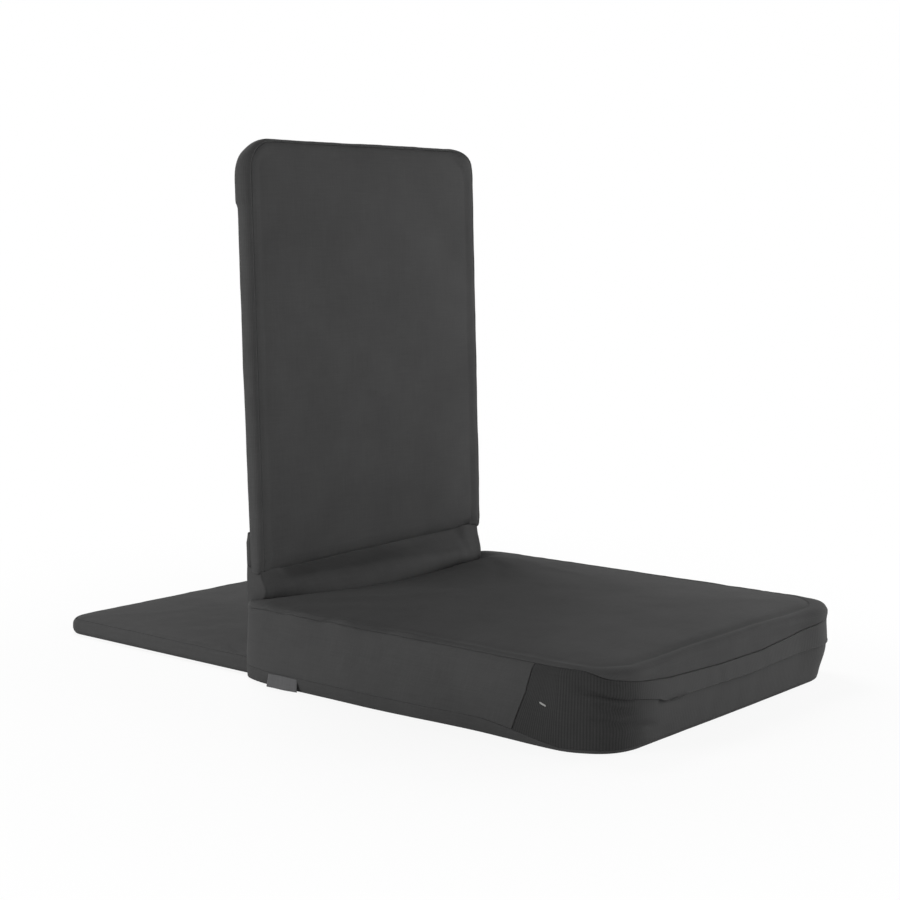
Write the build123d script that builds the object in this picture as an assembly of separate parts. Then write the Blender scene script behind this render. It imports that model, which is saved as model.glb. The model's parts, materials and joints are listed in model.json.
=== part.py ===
"""Folding floor chair: a bent tube frame in fabric covers, a foam seat, and a back that folds forward.

Millimetres. X is across the chair, -Y is the front, +Z is up. The origin is on the floor,
in the middle of the chair's outline.
"""
from build123d import *
import math
import os

os.makedirs("parts", exist_ok=True)

# ---------------------------------------------------------------- driving dimensions
FRONT = -368.0             # front of the zip lap, the foremost point
REAR = 368.0               # rear edge of the floor panel
FABRIC = 1.5               # doubled cotton canvas
LAP_THICK = 1.2            # folded strip that hides the zip

SEAT_HALF = 200.0          # half the seat's width
SEAT_FRONT = FRONT + LAP_THICK
SEAT_REAR = 88.5           # the seat block's rear wall
SEAT_FRONT_R = 50.0        # plan corners at the front
SEAT_REAR_R = 20.0         # plan corners at the rear
SEAT_BOW = 2.5             # how far the long sides are drawn in at their middle
BAND_TOP = 13.5            # seam between the base band and the cushion cover
# height above the floor, and how far the outline is drawn in there
SEAT_FORM = [(0.0, 2.5), (6.0, 0.6), (BAND_TOP, 0.0), (62.0, 0.0), (69.0, 1.2), (73.0, 4.0),
             (75.0, 10.0), (77.4, 32.0), (79.3, 75.0), (80.0, 125.0)]

PANEL_HALF = 188.5         # half the floor panel's width
PANEL_THICK = 18.0
PANEL_FRONT = 90.2         # the floor panel starts just behind the seat block and brackets
PANEL_R = 30.0             # its rear plan corners
PANEL_FORM = [(0.0, 4.0), (4.0, 0.8), (8.0, 0.0), (12.0, 1.0), (15.5, 4.5), (17.3, 11.0),
              (PANEL_THICK, 24.0)]

LEAN = 2.1                 # the back's backward lean, degrees
PIVOT_Y = 79.5
PIVOT_Z = 97.0
BACK_HALF = 171.5
BACK_TOP = 532.0
BACK_BOTTOM = 104.0        # the fold line across the front of the back
BACK_THICK = 21.0
BACK_TOP_R = 38.0
BACK_LOW_R = 4.0
BACK_FABRIC = 1.2
# depth behind the front face, and how far the outline is drawn in there
BACK_FORM = [(-1.0, 70.0), (-0.4, 20.0), (0.4, 7.0), (2.2, 2.2), (5.5, 0.0), (15.5, 0.0),
             (18.8, 2.2), (20.6, 7.0), (BACK_THICK, 12.0)]
GUSSET = (3.6, 17.4)       # depth of the two seams along the back's edge strip

TUBE_R = 6.0               # 12 mm steel tube
TUBE_WALL = 1.2
CROSS_R = 5.0              # 10 mm cross tubes in the back
FRAME_X = 178.0            # centre lines of the floor frame
FRAME_Z = FABRIC + TUBE_R + 0.1
FRAME_FRONT = SEAT_FRONT + 21.0
FRAME_REAR = REAR - 11.0
FRAME_FRONT_R = 48.0
FRAME_REAR_R = 34.0
JOIN_Y = 20.0              # the two bows meet here, over a joiner
SEAT_CROSS_Y = -150.0
HINGE_CROSS_Y = 80.0
GROOVE = 0.3               # room between a tube and the foam round it

LEG_X = 161.0              # centre lines of the back's legs
LEG_END = 112.0            # the tube ends here, the lug goes on to the pivot
HOOP_TOP = BACK_TOP - 11.0
HOOP_R = 30.0
BACK_CROSS_Z = (165.0, 345.0)

SHEET = 2.0                # pressed steel of the hinge brackets
CHANNEL = 12.6             # clear width between a bracket's flanges
WEB_Y = 90.6               # front of the bracket's web, just behind the back's cover
BRACKET_TOP = 138.0
NOSE_R = 6.4               # flange nose round the pivot
LUG_THICK = 8.0
PIN_R = 3.0
RUNNING = 0.05             # radial clearance of the pin in its bush
BUSH_R = 4.2
WASHER = 2.0
RIVET_HEAD = (5.0, 1.6)    # radius and thickness

REAR_COVER_TOP = 141.0
STRIP_FOOT = (42.5, 79.2)  # y and z where the hinge strip is sewn to the seat
STRIP_THICK = 1.6
STRIP_HALF = 168.0

LAP_LOW = 36.0
LAP_HIGH = 56.0
LAP_HALF = 152.0
ZIP_SLOT = (36.5, 47.5)
ZIP_SLOT_HALF = 150.0
ZIP_HALF = 148.5
ZIP_Z = 42.0
CHAIN_WIDE = 5.0
CHAIN_THICK = 2.2
TAPE = 0.8
TAPE_LOW = 27.0
TAPE_HIGH = 57.0
SLIDER_LONG = 11.0
SLIDER_TALL = 10.0
SLIDER_PLATE = 1.2
SLIDER_X = -142.0          # the slider's middle when the zip is closed
PULL = (19.0, 5.0, 1.0)

LABEL = (-8.0, 31.0)       # the bare tab's two ends along the near side
LABEL_TOP = 12.5
TACK = (-305.0, -297.0, 37.0, 39.0)


# ---------------------------------------------------------------- helpers
def block(x0, x1, y0, y1, z0, z1):
    """A box between two corners."""
    middle = Pos((x0 + x1) / 2, (y0 + y1) / 2, (z0 + z1) / 2)
    return middle * Box(x1 - x0, y1 - y0, z1 - z0)


def rod(start, end, radius):
    """A straight round bar between two points."""
    line = Edge.make_line(Vector(*start), Vector(*end))
    plane = Plane(origin=line @ 0, z_dir=line % 0)
    return extrude(plane * Circle(radius), amount=line.length)


def leaned(shape):
    """Turn an upright shape back about the pivot, to the angle at which the back stands."""
    pivot = Pos(0, PIVOT_Y, PIVOT_Z)
    return pivot * Rot(X=-LEAN) * pivot.inverse() * shape


def on_both_sides(make):
    """One solid for each side of the chair."""
    return Compound(children=[make(-1), make(1)])


def ring(half, low, high, low_r, high_r, bow, place):
    """Closed outline: straight ends, round corners, and long sides drawn in by bow.

    place(u, v) puts a point of the outline into space.
    """
    def corner(u, v, radius, start):
        points = []
        for step in (0, 45, 90):
            angle = math.radians(start + step)
            points.append(place(u + radius * math.cos(angle), v + radius * math.sin(angle)))
        return Edge.make_three_point_arc(*points)

    def side(u, v0, v1):
        middle = u - math.copysign(bow, u)
        if bow == 0:
            return Edge.make_line(place(u, v0), place(u, v1))
        return Edge.make_three_point_arc(place(u, v0), place(middle, (v0 + v1) / 2), place(u, v1))

    return Wire([
        Edge.make_line(place(-half + low_r, low), place(half - low_r, low)),
        corner(half - low_r, low + low_r, low_r, 270),
        side(half, low + low_r, high - high_r),
        corner(half - high_r, high - high_r, high_r, 0),
        Edge.make_line(place(half - high_r, high), place(-half + high_r, high)),
        corner(-half + high_r, high - high_r, high_r, 90),
        side(-half, high - high_r, low + low_r),
        corner(-half + low_r, low + low_r, low_r, 180),
    ])


def tightened(radius, inset):
    """A corner's radius once its outline is drawn in."""
    return max(radius - inset, 3.0)


# ---------------------------------------------------------------- soft forms
def seat_form(skin):
    """The seat block, made smaller by the thickness of its cover."""
    sections = []
    for height, inset in SEAT_FORM:
        drawn = inset + skin
        z = height - skin if height > BAND_TOP else height
        sections.append(ring(
            SEAT_HALF - drawn, SEAT_FRONT + drawn, SEAT_REAR - drawn,
            tightened(SEAT_FRONT_R, drawn), tightened(SEAT_REAR_R, drawn), SEAT_BOW,
            lambda u, v, z=z: Vector(u, v, z)))
    return Solid.make_loft(sections, ruled=True)


def panel_form(skin):
    """The floor panel, made smaller by the thickness of its cover."""
    sections = []
    for height, inset in PANEL_FORM:
        drawn = inset + skin
        z = height - skin if height > PANEL_FORM[2][0] else height
        sections.append(ring(
            PANEL_HALF - drawn, PANEL_FRONT - PANEL_R, REAR - drawn,
            3.0, tightened(PANEL_R, drawn), 0,
            lambda u, v, z=z: Vector(u, v, z)))
    whole = Solid.make_loft(sections, ruled=True)
    return whole - block(-SEAT_HALF, SEAT_HALF, 0, PANEL_FRONT, -1, PANEL_THICK + 1)


def back_form(skin):
    """The upright back, made smaller by the thickness of its cover."""
    sections = []
    for depth, inset in BACK_FORM:
        drawn = inset + skin
        front_half = depth < BACK_THICK / 2
        y = PIVOT_Y - BACK_THICK / 2 + depth + (skin if front_half else -skin)
        sections.append(ring(
            BACK_HALF - drawn, BACK_BOTTOM + min(drawn, skin + BACK_LOW_R), BACK_TOP - drawn,
            BACK_LOW_R, tightened(BACK_TOP_R, drawn), 0,
            lambda u, v, y=y: Vector(u, y, v)))
    return Solid.make_loft(sections, ruled=True)


# ---------------------------------------------------------------- floor frame
def bow_path(end_y, corner_r):
    """Centre line of a U-shaped bow, from one joiner round to the other."""
    corners = [(FRAME_X, JOIN_Y), (FRAME_X, end_y), (-FRAME_X, end_y), (-FRAME_X, JOIN_Y)]
    points = [Vector(x, y, FRAME_Z) for x, y in corners]
    return FilletPolyline(*points, radius=corner_r)


def swept(path, radius):
    """A solid round bar along a path."""
    plane = Plane(origin=path @ 0, z_dir=path % 0)
    return sweep(plane * Circle(radius), path=path)


def tube(path, radius):
    """A tube along a path."""
    return swept(path, radius) - swept(path, radius - TUBE_WALL)


FRONT_PATH = bow_path(FRAME_FRONT, FRAME_FRONT_R)
REAR_PATH = bow_path(FRAME_REAR, FRAME_REAR_R)


def cross_ends(y, reach):
    return (-reach, y, FRAME_Z), (reach, y, FRAME_Z)


def cross_tube(y):
    """A cross tube of the floor frame, coped to fit the side tubes."""
    ends = cross_ends(y, FRAME_X)
    hollow = rod(*ends, TUBE_R) - rod(*ends, TUBE_R - TUBE_WALL)
    for side in (-1, 1):
        hollow -= rod((side * FRAME_X, y - 20, FRAME_Z), (side * FRAME_X, y + 20, FRAME_Z),
                      TUBE_R + 0.02)
    return hollow


def frame_joiner(side):
    """A plug inside the tubes where the front and rear bows meet."""
    x = side * FRAME_X
    reach = 22.0
    return rod((x, JOIN_Y - reach, FRAME_Z), (x, JOIN_Y + reach, FRAME_Z),
               TUBE_R - TUBE_WALL - 0.1)


def frame_grooves():
    """The room that the floor frame takes in the foam, open to the underside."""
    radius = TUBE_R + GROOVE
    room = swept(FRONT_PATH, radius) + swept(REAR_PATH, radius)
    for path in (FRONT_PATH, REAR_PATH):
        plane = Plane(origin=path @ 0, z_dir=path % 0, x_dir=(1, 0, 0))
        below = plane * Pos(0, -FRAME_Z / 2) * Rectangle(2 * radius, FRAME_Z)
        above = plane * Pos(0, FRAME_Z / 2) * Rectangle(2 * radius, FRAME_Z)
        lower = below if below.center().Z < above.center().Z else above
        room += sweep(lower, path=path)
    for y in (SEAT_CROSS_Y, HINGE_CROSS_Y):
        room += rod(*cross_ends(y, FRAME_X), radius)
        room += block(-FRAME_X, FRAME_X, y - radius, y + radius, 0, FRAME_Z)
    return room


# ---------------------------------------------------------------- hinge
def hinge_bracket(side):
    """A pressed channel: flanges hold the pivot pin, and its web stops the back behind."""
    inner = LEG_X - CHANNEL / 2
    outer = LEG_X + CHANNEL / 2
    foot = -20.0
    top = PIVOT_Z + NOSE_R
    nose = PIVOT_Y - NOSE_R
    slant = PIVOT_Y - NOSE_R * math.sqrt(0.5)
    profile = Wire([
        Edge.make_line(Vector(0, nose, foot), Vector(0, nose, PIVOT_Z)),
        Edge.make_three_point_arc(
            Vector(0, nose, PIVOT_Z),
            Vector(0, slant, PIVOT_Z + NOSE_R * math.sqrt(0.5)),
            Vector(0, PIVOT_Y, top)),
        Edge.make_line(Vector(0, PIVOT_Y, top), Vector(0, WEB_Y + SHEET, top)),
        Edge.make_line(Vector(0, WEB_Y + SHEET, top), Vector(0, WEB_Y + SHEET, foot)),
        Edge.make_line(Vector(0, WEB_Y + SHEET, foot), Vector(0, nose, foot)),
    ])
    whole = extrude(Face(profile), amount=outer - inner + 2 * SHEET, dir=(1, 0, 0))
    whole = Pos(inner - SHEET, 0, 0) * whole
    whole -= block(inner, outer, 0, WEB_Y, foot - 1, BRACKET_TOP + 1)
    whole += block(inner - SHEET, outer + SHEET, WEB_Y, WEB_Y + SHEET, foot, BRACKET_TOP)
    whole -= rod((inner - 10, PIVOT_Y, PIVOT_Z), (outer + 10, PIVOT_Y, PIVOT_Z), PIN_R)
    corner_cut = 4.0
    tip = whole.edges().filter_by(Axis.Y).sort_by(Axis.Z)[-2:]
    whole = fillet(tip, corner_cut)
    stood = leaned(whole)
    stood -= block(0, SEAT_HALF, 0, 200, -60, FRAME_Z)
    stood -= rod(*cross_ends(HINGE_CROSS_Y, FRAME_X), TUBE_R + 0.02)
    return stood if side > 0 else mirror(stood, about=Plane.YZ)


def pivot_pin(side):
    """A riveted pin through both flanges of a bracket."""
    head_r, head = RIVET_HEAD
    half = CHANNEL / 2 + SHEET
    x = side * LEG_X
    pin = rod((x - half, PIVOT_Y, PIVOT_Z), (x + half, PIVOT_Y, PIVOT_Z), PIN_R)
    for end in (-1, 1):
        start = (x + end * half, PIVOT_Y, PIVOT_Z)
        stop = (x + end * (half + head), PIVOT_Y, PIVOT_Z)
        pin += rod(start, stop, head_r)
    return pin


def pivot_washers(side):
    """Two washers that keep the lug in the middle of its bracket."""
    washers = []
    for end in (-1, 1):
        outer = side * LEG_X + end * CHANNEL / 2
        start = (outer, PIVOT_Y, PIVOT_Z)
        stop = (outer - end * WASHER, PIVOT_Y, PIVOT_Z)
        washers.append(rod(start, stop, TUBE_R) - rod(start, stop, PIN_R + RUNNING))
    return Compound(children=washers)


def pivot_bush(side):
    """A nylon bush in the lug."""
    x = side * LEG_X
    half = LUG_THICK / 2
    start = (x - half, PIVOT_Y, PIVOT_Z)
    stop = (x + half, PIVOT_Y, PIVOT_Z)
    return rod(start, stop, BUSH_R) - rod(start, stop, PIN_R + RUNNING)


def leg_lug(side):
    """The solid end of a leg: a spigot in the tube, and an eye round the pivot."""
    x = side * LEG_X
    half = LUG_THICK / 2
    eye = rod((x - half, PIVOT_Y, PIVOT_Z), (x + half, PIVOT_Y, PIVOT_Z), TUBE_R)
    eye += block(x - half, x + half, PIVOT_Y - TUBE_R, PIVOT_Y + TUBE_R, PIVOT_Z, LEG_END)
    eye += rod((x, PIVOT_Y, LEG_END), (x, PIVOT_Y, LEG_END + 24), TUBE_R - TUBE_WALL - 0.1)
    eye -= rod((x - half, PIVOT_Y, PIVOT_Z), (x + half, PIVOT_Y, PIVOT_Z), BUSH_R)
    return leaned(eye)


# ---------------------------------------------------------------- back
def hoop_path():
    """Centre line of the back's hoop, upright."""
    corners = [(-LEG_X, LEG_END), (-LEG_X, HOOP_TOP), (LEG_X, HOOP_TOP), (LEG_X, LEG_END)]
    points = [Vector(x, PIVOT_Y, z) for x, z in corners]
    return FilletPolyline(*points, radius=HOOP_R)


HOOP_PATH = hoop_path()


def back_cross_tube(z):
    """A cross tube between the legs, coped to fit them."""
    ends = ((-LEG_X, PIVOT_Y, z), (LEG_X, PIVOT_Y, z))
    hollow = rod(*ends, CROSS_R) - rod(*ends, CROSS_R - TUBE_WALL)
    for side in (-1, 1):
        hollow -= rod((side * LEG_X, PIVOT_Y, z - 20), (side * LEG_X, PIVOT_Y, z + 20),
                      TUBE_R + 0.02)
    return leaned(hollow)


def back_frame_room():
    """The room that the back's frame takes between its two pads."""
    room = swept(HOOP_PATH, TUBE_R + 0.1)
    for z in BACK_CROSS_Z:
        room += rod((-LEG_X, PIVOT_Y, z), (LEG_X, PIVOT_Y, z), CROSS_R + 0.1)
    for side in (-1, 1):
        room += leg_slot(side, LEG_END + 1)
    return room


def leg_slot(side, top):
    """Clearance for a lug where it leaves the bottom of the cover."""
    x = side * LEG_X
    wide = LUG_THICK / 2 + 0.6
    deep = TUBE_R + 0.6
    return block(x - wide, x + wide, PIVOT_Y - deep, PIVOT_Y + deep, BACK_BOTTOM - 5, top)


def back_layer(form, front_depth, rear_depth):
    """The part of an upright form between two depths behind the front face."""
    face = PIVOT_Y - BACK_THICK / 2
    slab = block(-SEAT_HALF, SEAT_HALF, face + front_depth, face + rear_depth,
                 BACK_BOTTOM - 5, BACK_TOP + 5)
    return form & slab


# ---------------------------------------------------------------- seat covers and zip
def zip_panel_region():
    """Side view of the ribbed panel that wraps the front, drawn through the whole width."""
    outline = [(-269.0, 10.0), (-290.0, 71.5), (-337.0, 71.5), (-372.0, LAP_HIGH),
               (-372.0, 3.0), (-319.0, 3.0)]
    points = [Vector(-SEAT_HALF - 5, y, z) for y, z in outline]
    face = Face(Wire.make_polygon(points, close=True))
    return extrude(face, amount=2 * SEAT_HALF + 10, dir=(1, 0, 0))


def zip_slot():
    """The opening behind the lap, in the skin alone."""
    return block(-ZIP_SLOT_HALF, ZIP_SLOT_HALF, FRONT - 1, SEAT_FRONT + FABRIC, *ZIP_SLOT)


ZIP_PLANE = SEAT_FRONT + 4.4      # middle of the chain, sunk behind the lap


def zip_recess():
    """The hollow in the foam that the zip lies in."""
    depth = ZIP_PLANE + CHAIN_THICK / 2 + SLIDER_PLATE + 1.0
    reach = ZIP_SLOT_HALF + 4
    return block(-reach, reach, FRONT - 1, depth, TAPE_LOW, TAPE_HIGH)


def zip_tapes():
    """Two woven tapes, each turned out at its far edge to meet the skin."""
    skin_inside = SEAT_FRONT + FABRIC
    hem = 2.5
    y0 = ZIP_PLANE - TAPE / 2
    y1 = ZIP_PLANE + TAPE / 2
    low = block(-ZIP_HALF, ZIP_HALF, y0, y1, TAPE_LOW, ZIP_Z - CHAIN_WIDE / 2)
    low += block(-ZIP_HALF, ZIP_HALF, skin_inside, y1, TAPE_LOW, TAPE_LOW + hem)
    high = block(-ZIP_HALF, ZIP_HALF, y0, y1, ZIP_Z + CHAIN_WIDE / 2, TAPE_HIGH)
    high += block(-ZIP_HALF, ZIP_HALF, skin_inside, y1, TAPE_HIGH - hem, TAPE_HIGH)
    return Compound(children=[low, high])


def zip_chain():
    """The closed coil, from the slider's nose to the far end."""
    start = SLIDER_X - SLIDER_LONG / 2 + 4.0
    core = block(start, ZIP_HALF, ZIP_PLANE - CHAIN_THICK / 2, ZIP_PLANE + CHAIN_THICK / 2,
                 ZIP_Z - CHAIN_WIDE / 2, ZIP_Z + CHAIN_WIDE / 2)
    return core


def zip_slider():
    """Two plates joined by the divider, with a bail on the front one."""
    room = 0.3
    x0 = SLIDER_X - SLIDER_LONG / 2
    x1 = SLIDER_X + SLIDER_LONG / 2
    z0 = ZIP_Z - SLIDER_TALL / 2
    z1 = ZIP_Z + SLIDER_TALL / 2
    front_in = ZIP_PLANE - CHAIN_THICK / 2 - room
    rear_in = ZIP_PLANE + CHAIN_THICK / 2 + room
    front = block(x0, x1, front_in - SLIDER_PLATE, front_in, z0, z1)
    rear = block(x0, x1, rear_in, rear_in + SLIDER_PLATE, z0, z1)
    corners = 2.5
    front = fillet(front.edges().filter_by(Axis.Y), corners)
    rear = fillet(rear.edges().filter_by(Axis.Y), corners)
    divider = block(x0 + 0.6, x0 + 3.4, front_in, rear_in, ZIP_Z - 1.5, ZIP_Z + 1.5)
    face = front_in - SLIDER_PLATE
    tab = PULL[2] + 0.2
    post = block(SLIDER_X - 1.5, SLIDER_X + 1.5, face - tab, face, ZIP_Z - 0.8, ZIP_Z + 0.8)
    cap = block(SLIDER_X - 1.5, SLIDER_X + 1.5, face - tab - 0.3, face - tab,
                ZIP_Z - 2.2, ZIP_Z + 2.2)
    return front + rear + divider + post + cap


def zip_pull():
    """The flat tab, lying under the lap with its eye round the bail."""
    length, height, thick = PULL
    front_in = ZIP_PLANE - CHAIN_THICK / 2 - 0.3
    face = front_in - SLIDER_PLATE - 0.1
    x0 = SLIDER_X - 4.0
    tab = block(x0, x0 + length, face - thick, face, ZIP_Z - height / 2, ZIP_Z + height / 2)
    tab = fillet(tab.edges().filter_by(Axis.Y), 2.0)
    eye = block(SLIDER_X - 2.2, SLIDER_X + 2.2, face - thick - 1, face + 1,
                ZIP_Z - 1.4, ZIP_Z + 1.4)
    return tab - eye


# ---------------------------------------------------------------- hinge strip, rear cover, trim
def hinge_strip():
    """The fabric strip from the fold line down to the seat, slightly bellied, with side gussets."""
    face = PIVOT_Y - BACK_THICK / 2
    top = (face - 3.2, BACK_BOTTOM + 1.0)
    belly = ((top[0] + STRIP_FOOT[0]) / 2 - 2.5, (top[1] + STRIP_FOOT[1]) / 2 + 2.5)
    thick = STRIP_THICK / math.sqrt(2)
    outer = [Vector(-STRIP_HALF, *top), Vector(-STRIP_HALF, *belly),
             Vector(-STRIP_HALF, *STRIP_FOOT)]
    inner = [Vector(point.X, point.Y + thick, point.Z - thick) for point in outer]
    inner[2] = Vector(-STRIP_HALF, STRIP_FOOT[0] + 2 * thick, STRIP_FOOT[1])
    profile = Wire([
        Edge.make_three_point_arc(*outer),
        Edge.make_line(outer[2], inner[2]),
        Edge.make_three_point_arc(inner[2], inner[1], inner[0]),
        Edge.make_line(inner[0], outer[0]),
    ])
    strip = extrude(Face(profile), amount=2 * STRIP_HALF, dir=(1, 0, 0))
    foot = Vector(-STRIP_HALF, face - 1.0, STRIP_FOOT[1] + 0.6)
    head = Vector(-STRIP_HALF, face - 1.0, BACK_BOTTOM + 1.0)
    side = Face(Wire([
        Edge.make_three_point_arc(*outer),
        Edge.make_line(outer[2], foot),
        Edge.make_line(foot, head),
        Edge.make_line(head, outer[0]),
    ]))
    gusset = extrude(side, amount=STRIP_THICK, dir=(1, 0, 0))
    return strip + gusset + Pos(2 * STRIP_HALF - STRIP_THICK, 0, 0) * gusset


def rear_upright_cover():
    """Fabric over the brackets from behind, hemmed at the top, with short side returns."""
    half = BACK_HALF + 2.0
    inside = WEB_Y + SHEET + 0.1
    outside = inside + FABRIC
    panel = block(-half, half, inside, outside, PANEL_THICK - 4, REAR_COVER_TOP)
    panel += block(-half, half, WEB_Y, inside, BRACKET_TOP + 0.3, REAR_COVER_TOP)
    low = SEAT_FORM[-1][0] - 0.5
    for side in (-1, 1):
        x0, x1 = sorted((side * half, side * (half - FABRIC)))
        panel += block(x0, x1, PIVOT_Y - 9, inside, low, BACK_BOTTOM - 1)
        panel += block(x0, x1, WEB_Y, inside, low, REAR_COVER_TOP)
    stood = leaned(panel)
    return stood - block(-SEAT_HALF, SEAT_HALF, 0, 200, 0, PANEL_THICK + 0.05)


def label_tab(skin):
    """A bare woven tab sewn into the seam of the base band, on the sitter's right."""
    tab = block(-SEAT_HALF + 0.3, -SEAT_HALF + 1.5, LABEL[0], LABEL[1], FABRIC, LABEL_TOP)
    outside = tab - skin
    return outside.solids().sort_by(Axis.X)[0]


def end_tack(skin):
    """A short bar of light thread at the end of the zip."""
    y0, y1, z0, z1 = TACK
    bar = block(-SEAT_HALF, -SEAT_HALF + 5, y0, y1, z0, z1) - skin
    return bar.solids().sort_by(Axis.X)[0]


def underside_sheet():
    """The bottom fabric of seat and floor panel, in one flat piece."""
    edge = 2.4
    seat = ring(SEAT_HALF - edge, SEAT_FRONT + edge, SEAT_REAR - edge,
                SEAT_FRONT_R - edge, SEAT_REAR_R - edge, SEAT_BOW,
                lambda u, v: Vector(u, v, 0))
    inset = 4.0
    panel = ring(PANEL_HALF - inset, 0, REAR - inset, 3.0, PANEL_R - inset, 0,
                 lambda u, v: Vector(u, v, 0))
    seat_part = extrude(Face(seat), amount=FABRIC, dir=(0, 0, 1))
    panel_part = extrude(Face(panel), amount=FABRIC, dir=(0, 0, 1))
    return seat_part + panel_part


# ---------------------------------------------------------------- assembly
def bracket_pockets():
    """Room for both brackets in the seat block, open to the rear and the top."""
    room = 0.8
    inner = LEG_X - CHANNEL / 2 - SHEET - RIVET_HEAD[1] - room
    outer = LEG_X + CHANNEL / 2 + SHEET + RIVET_HEAD[1] + room
    front = PIVOT_Y - NOSE_R - 4.0 - room
    right = block(inner, outer, front, SEAT_REAR + 5, 0, 90)
    return right + mirror(right, about=Plane.YZ)


def save(name, shape):
    """Write one sub-part."""
    export_step(shape, os.path.join("parts", name + ".step"))


def build_floor_frame():
    save("base_front_bow", tube(FRONT_PATH, TUBE_R))
    save("base_rear_bow", tube(REAR_PATH, TUBE_R))
    save("base_cross_tubes", Compound(children=[
        cross_tube(SEAT_CROSS_Y), cross_tube(HINGE_CROSS_Y)]))
    save("frame_joiners", on_both_sides(frame_joiner))


def build_hinge():
    save("hinge_bracket_right", hinge_bracket(-1))
    save("hinge_bracket_left", hinge_bracket(1))
    save("pivot_pins", on_both_sides(pivot_pin))
    save("pivot_washers", on_both_sides(pivot_washers))
    save("pivot_bushes", on_both_sides(pivot_bush))
    save("back_leg_lugs", on_both_sides(leg_lug))
    save("hinge_strip", hinge_strip())
    save("rear_upright_cover", rear_upright_cover())


def build_seat():
    grooves = frame_grooves()
    pockets = bracket_pockets()
    below_sheet = block(-220, 220, -400, 400, -5, FABRIC)
    region = zip_panel_region()
    outer = seat_form(0) - below_sheet
    cavity = seat_form(FABRIC)
    skin = outer - cavity - grooves - pockets
    low = block(-220, 220, -400, 400, 0, BAND_TOP)
    save("seat_foam", cavity - below_sheet - grooves - pockets - zip_recess())
    save("seat_cover", skin - region - low)
    rear_wall = block(-FRAME_X - 10, FRAME_X + 10, SEAT_REAR - 4, SEAT_REAR + 1, 0, BAND_TOP)
    save("seat_base_band", (skin & low) - region - rear_wall)
    save("front_zip_panel", (skin & region) - zip_slot())
    save("zip_lap", block(-LAP_HALF, LAP_HALF, FRONT, SEAT_FRONT, LAP_LOW, LAP_HIGH))
    save("zip_tapes", zip_tapes())
    save("zip_chain", zip_chain())
    save("zip_slider", zip_slider())
    save("zip_pull", zip_pull())
    save("zip_end_tack", end_tack(outer))
    save("label_tab", label_tab(outer))
    save("underside_sheet", underside_sheet())
    panel_outer = panel_form(0) - below_sheet
    panel_inner = panel_form(FABRIC) - below_sheet
    save("floor_panel_cover", panel_outer - panel_inner - grooves)
    save("floor_panel_pad", panel_inner - grooves)


def build_back():
    room = back_frame_room()
    outer = back_form(0)
    inner = back_form(BACK_FABRIC)
    slots = leg_slot(-1, LEG_END) + leg_slot(1, LEG_END)
    skin = outer - inner - slots
    middle = BACK_THICK / 2
    save("back_hoop", leaned(tube(HOOP_PATH, TUBE_R)))
    save("back_cross_tubes", Compound(children=[back_cross_tube(z) for z in BACK_CROSS_Z]))
    save("back_front_pad", leaned(back_layer(inner, -5, middle) - room))
    save("back_rear_pad", leaned(back_layer(inner, middle, BACK_THICK + 5) - room))
    save("back_front_cover", leaned(back_layer(skin, -5, GUSSET[0])))
    save("back_side_gusset", leaned(back_layer(skin, GUSSET[0], GUSSET[1])))
    save("back_rear_cover", leaned(back_layer(skin, GUSSET[1], BACK_THICK + 5)))


build_floor_frame()
build_hinge()
build_seat()
build_back()
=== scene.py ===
"""Folding floor chair in charcoal canvas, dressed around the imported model.

X runs across the chair, -Y is its front and +Z is up. The near side, as in the photograph, is -X,
the sitter's right; the far side is +X. Cloth is laid out as grids of
points: columns run round or across a piece, and rows run up or over it.
"""

import json
import math

import bpy
import numpy as np
from mathutils import Matrix, Vector, noise


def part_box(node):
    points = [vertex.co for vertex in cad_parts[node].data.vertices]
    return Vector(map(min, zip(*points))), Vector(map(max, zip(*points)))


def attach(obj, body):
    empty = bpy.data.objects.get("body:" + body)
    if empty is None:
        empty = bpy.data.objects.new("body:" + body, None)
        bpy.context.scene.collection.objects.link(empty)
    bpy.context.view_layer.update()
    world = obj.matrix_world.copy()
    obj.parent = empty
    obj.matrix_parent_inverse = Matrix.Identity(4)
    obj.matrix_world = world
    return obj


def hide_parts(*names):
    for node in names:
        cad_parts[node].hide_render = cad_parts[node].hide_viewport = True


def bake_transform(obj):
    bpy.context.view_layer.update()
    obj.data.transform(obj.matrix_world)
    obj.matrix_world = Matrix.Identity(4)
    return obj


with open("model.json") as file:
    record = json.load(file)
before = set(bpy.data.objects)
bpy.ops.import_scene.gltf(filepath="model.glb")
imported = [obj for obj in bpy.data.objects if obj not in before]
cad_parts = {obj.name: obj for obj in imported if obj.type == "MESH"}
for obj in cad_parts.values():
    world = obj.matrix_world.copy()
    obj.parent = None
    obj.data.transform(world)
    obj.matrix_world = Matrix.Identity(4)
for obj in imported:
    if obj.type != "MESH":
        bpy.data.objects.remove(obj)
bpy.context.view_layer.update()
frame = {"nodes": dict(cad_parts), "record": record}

MM = 0.001

# ---------------------------------------------------------------- driving dimensions, millimetres
SEAT_HALF = 200.0
SEAT_FRONT = -366.8
SEAT_REAR = 88.5
SEAT_FRONT_R = 50.0
SEAT_REAR_R = 27.0
SIDE_HIGH = 65.0           # the straight part of the seat's side
EDGE_ROUND = 9.5           # radius of the soft top edge
CROWN = 3.2                # how far the top stands above its edge before it is filled
CROWN_REACH = 120.0        # how far in from the edge it goes on rising

PIVOT_Y = 79.5             # the axis that the back folds about
PIVOT_Z = 97.0
LEAN = math.radians(2.1)   # the back leans back against its brackets
BACK_HALF = 171.5
BACK_TOP = 531.4
BACK_BOTTOM = 104.0
BACK_FACE = 69.0
BACK_THICK = 21.0          # from the front face to the rear face
BACK_TOP_R = 33.0
BACK_LOW_R = 2.5

PANEL_HALF = 188.5
PANEL_REAR = 369.5
PANEL_R = 28.0

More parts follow.
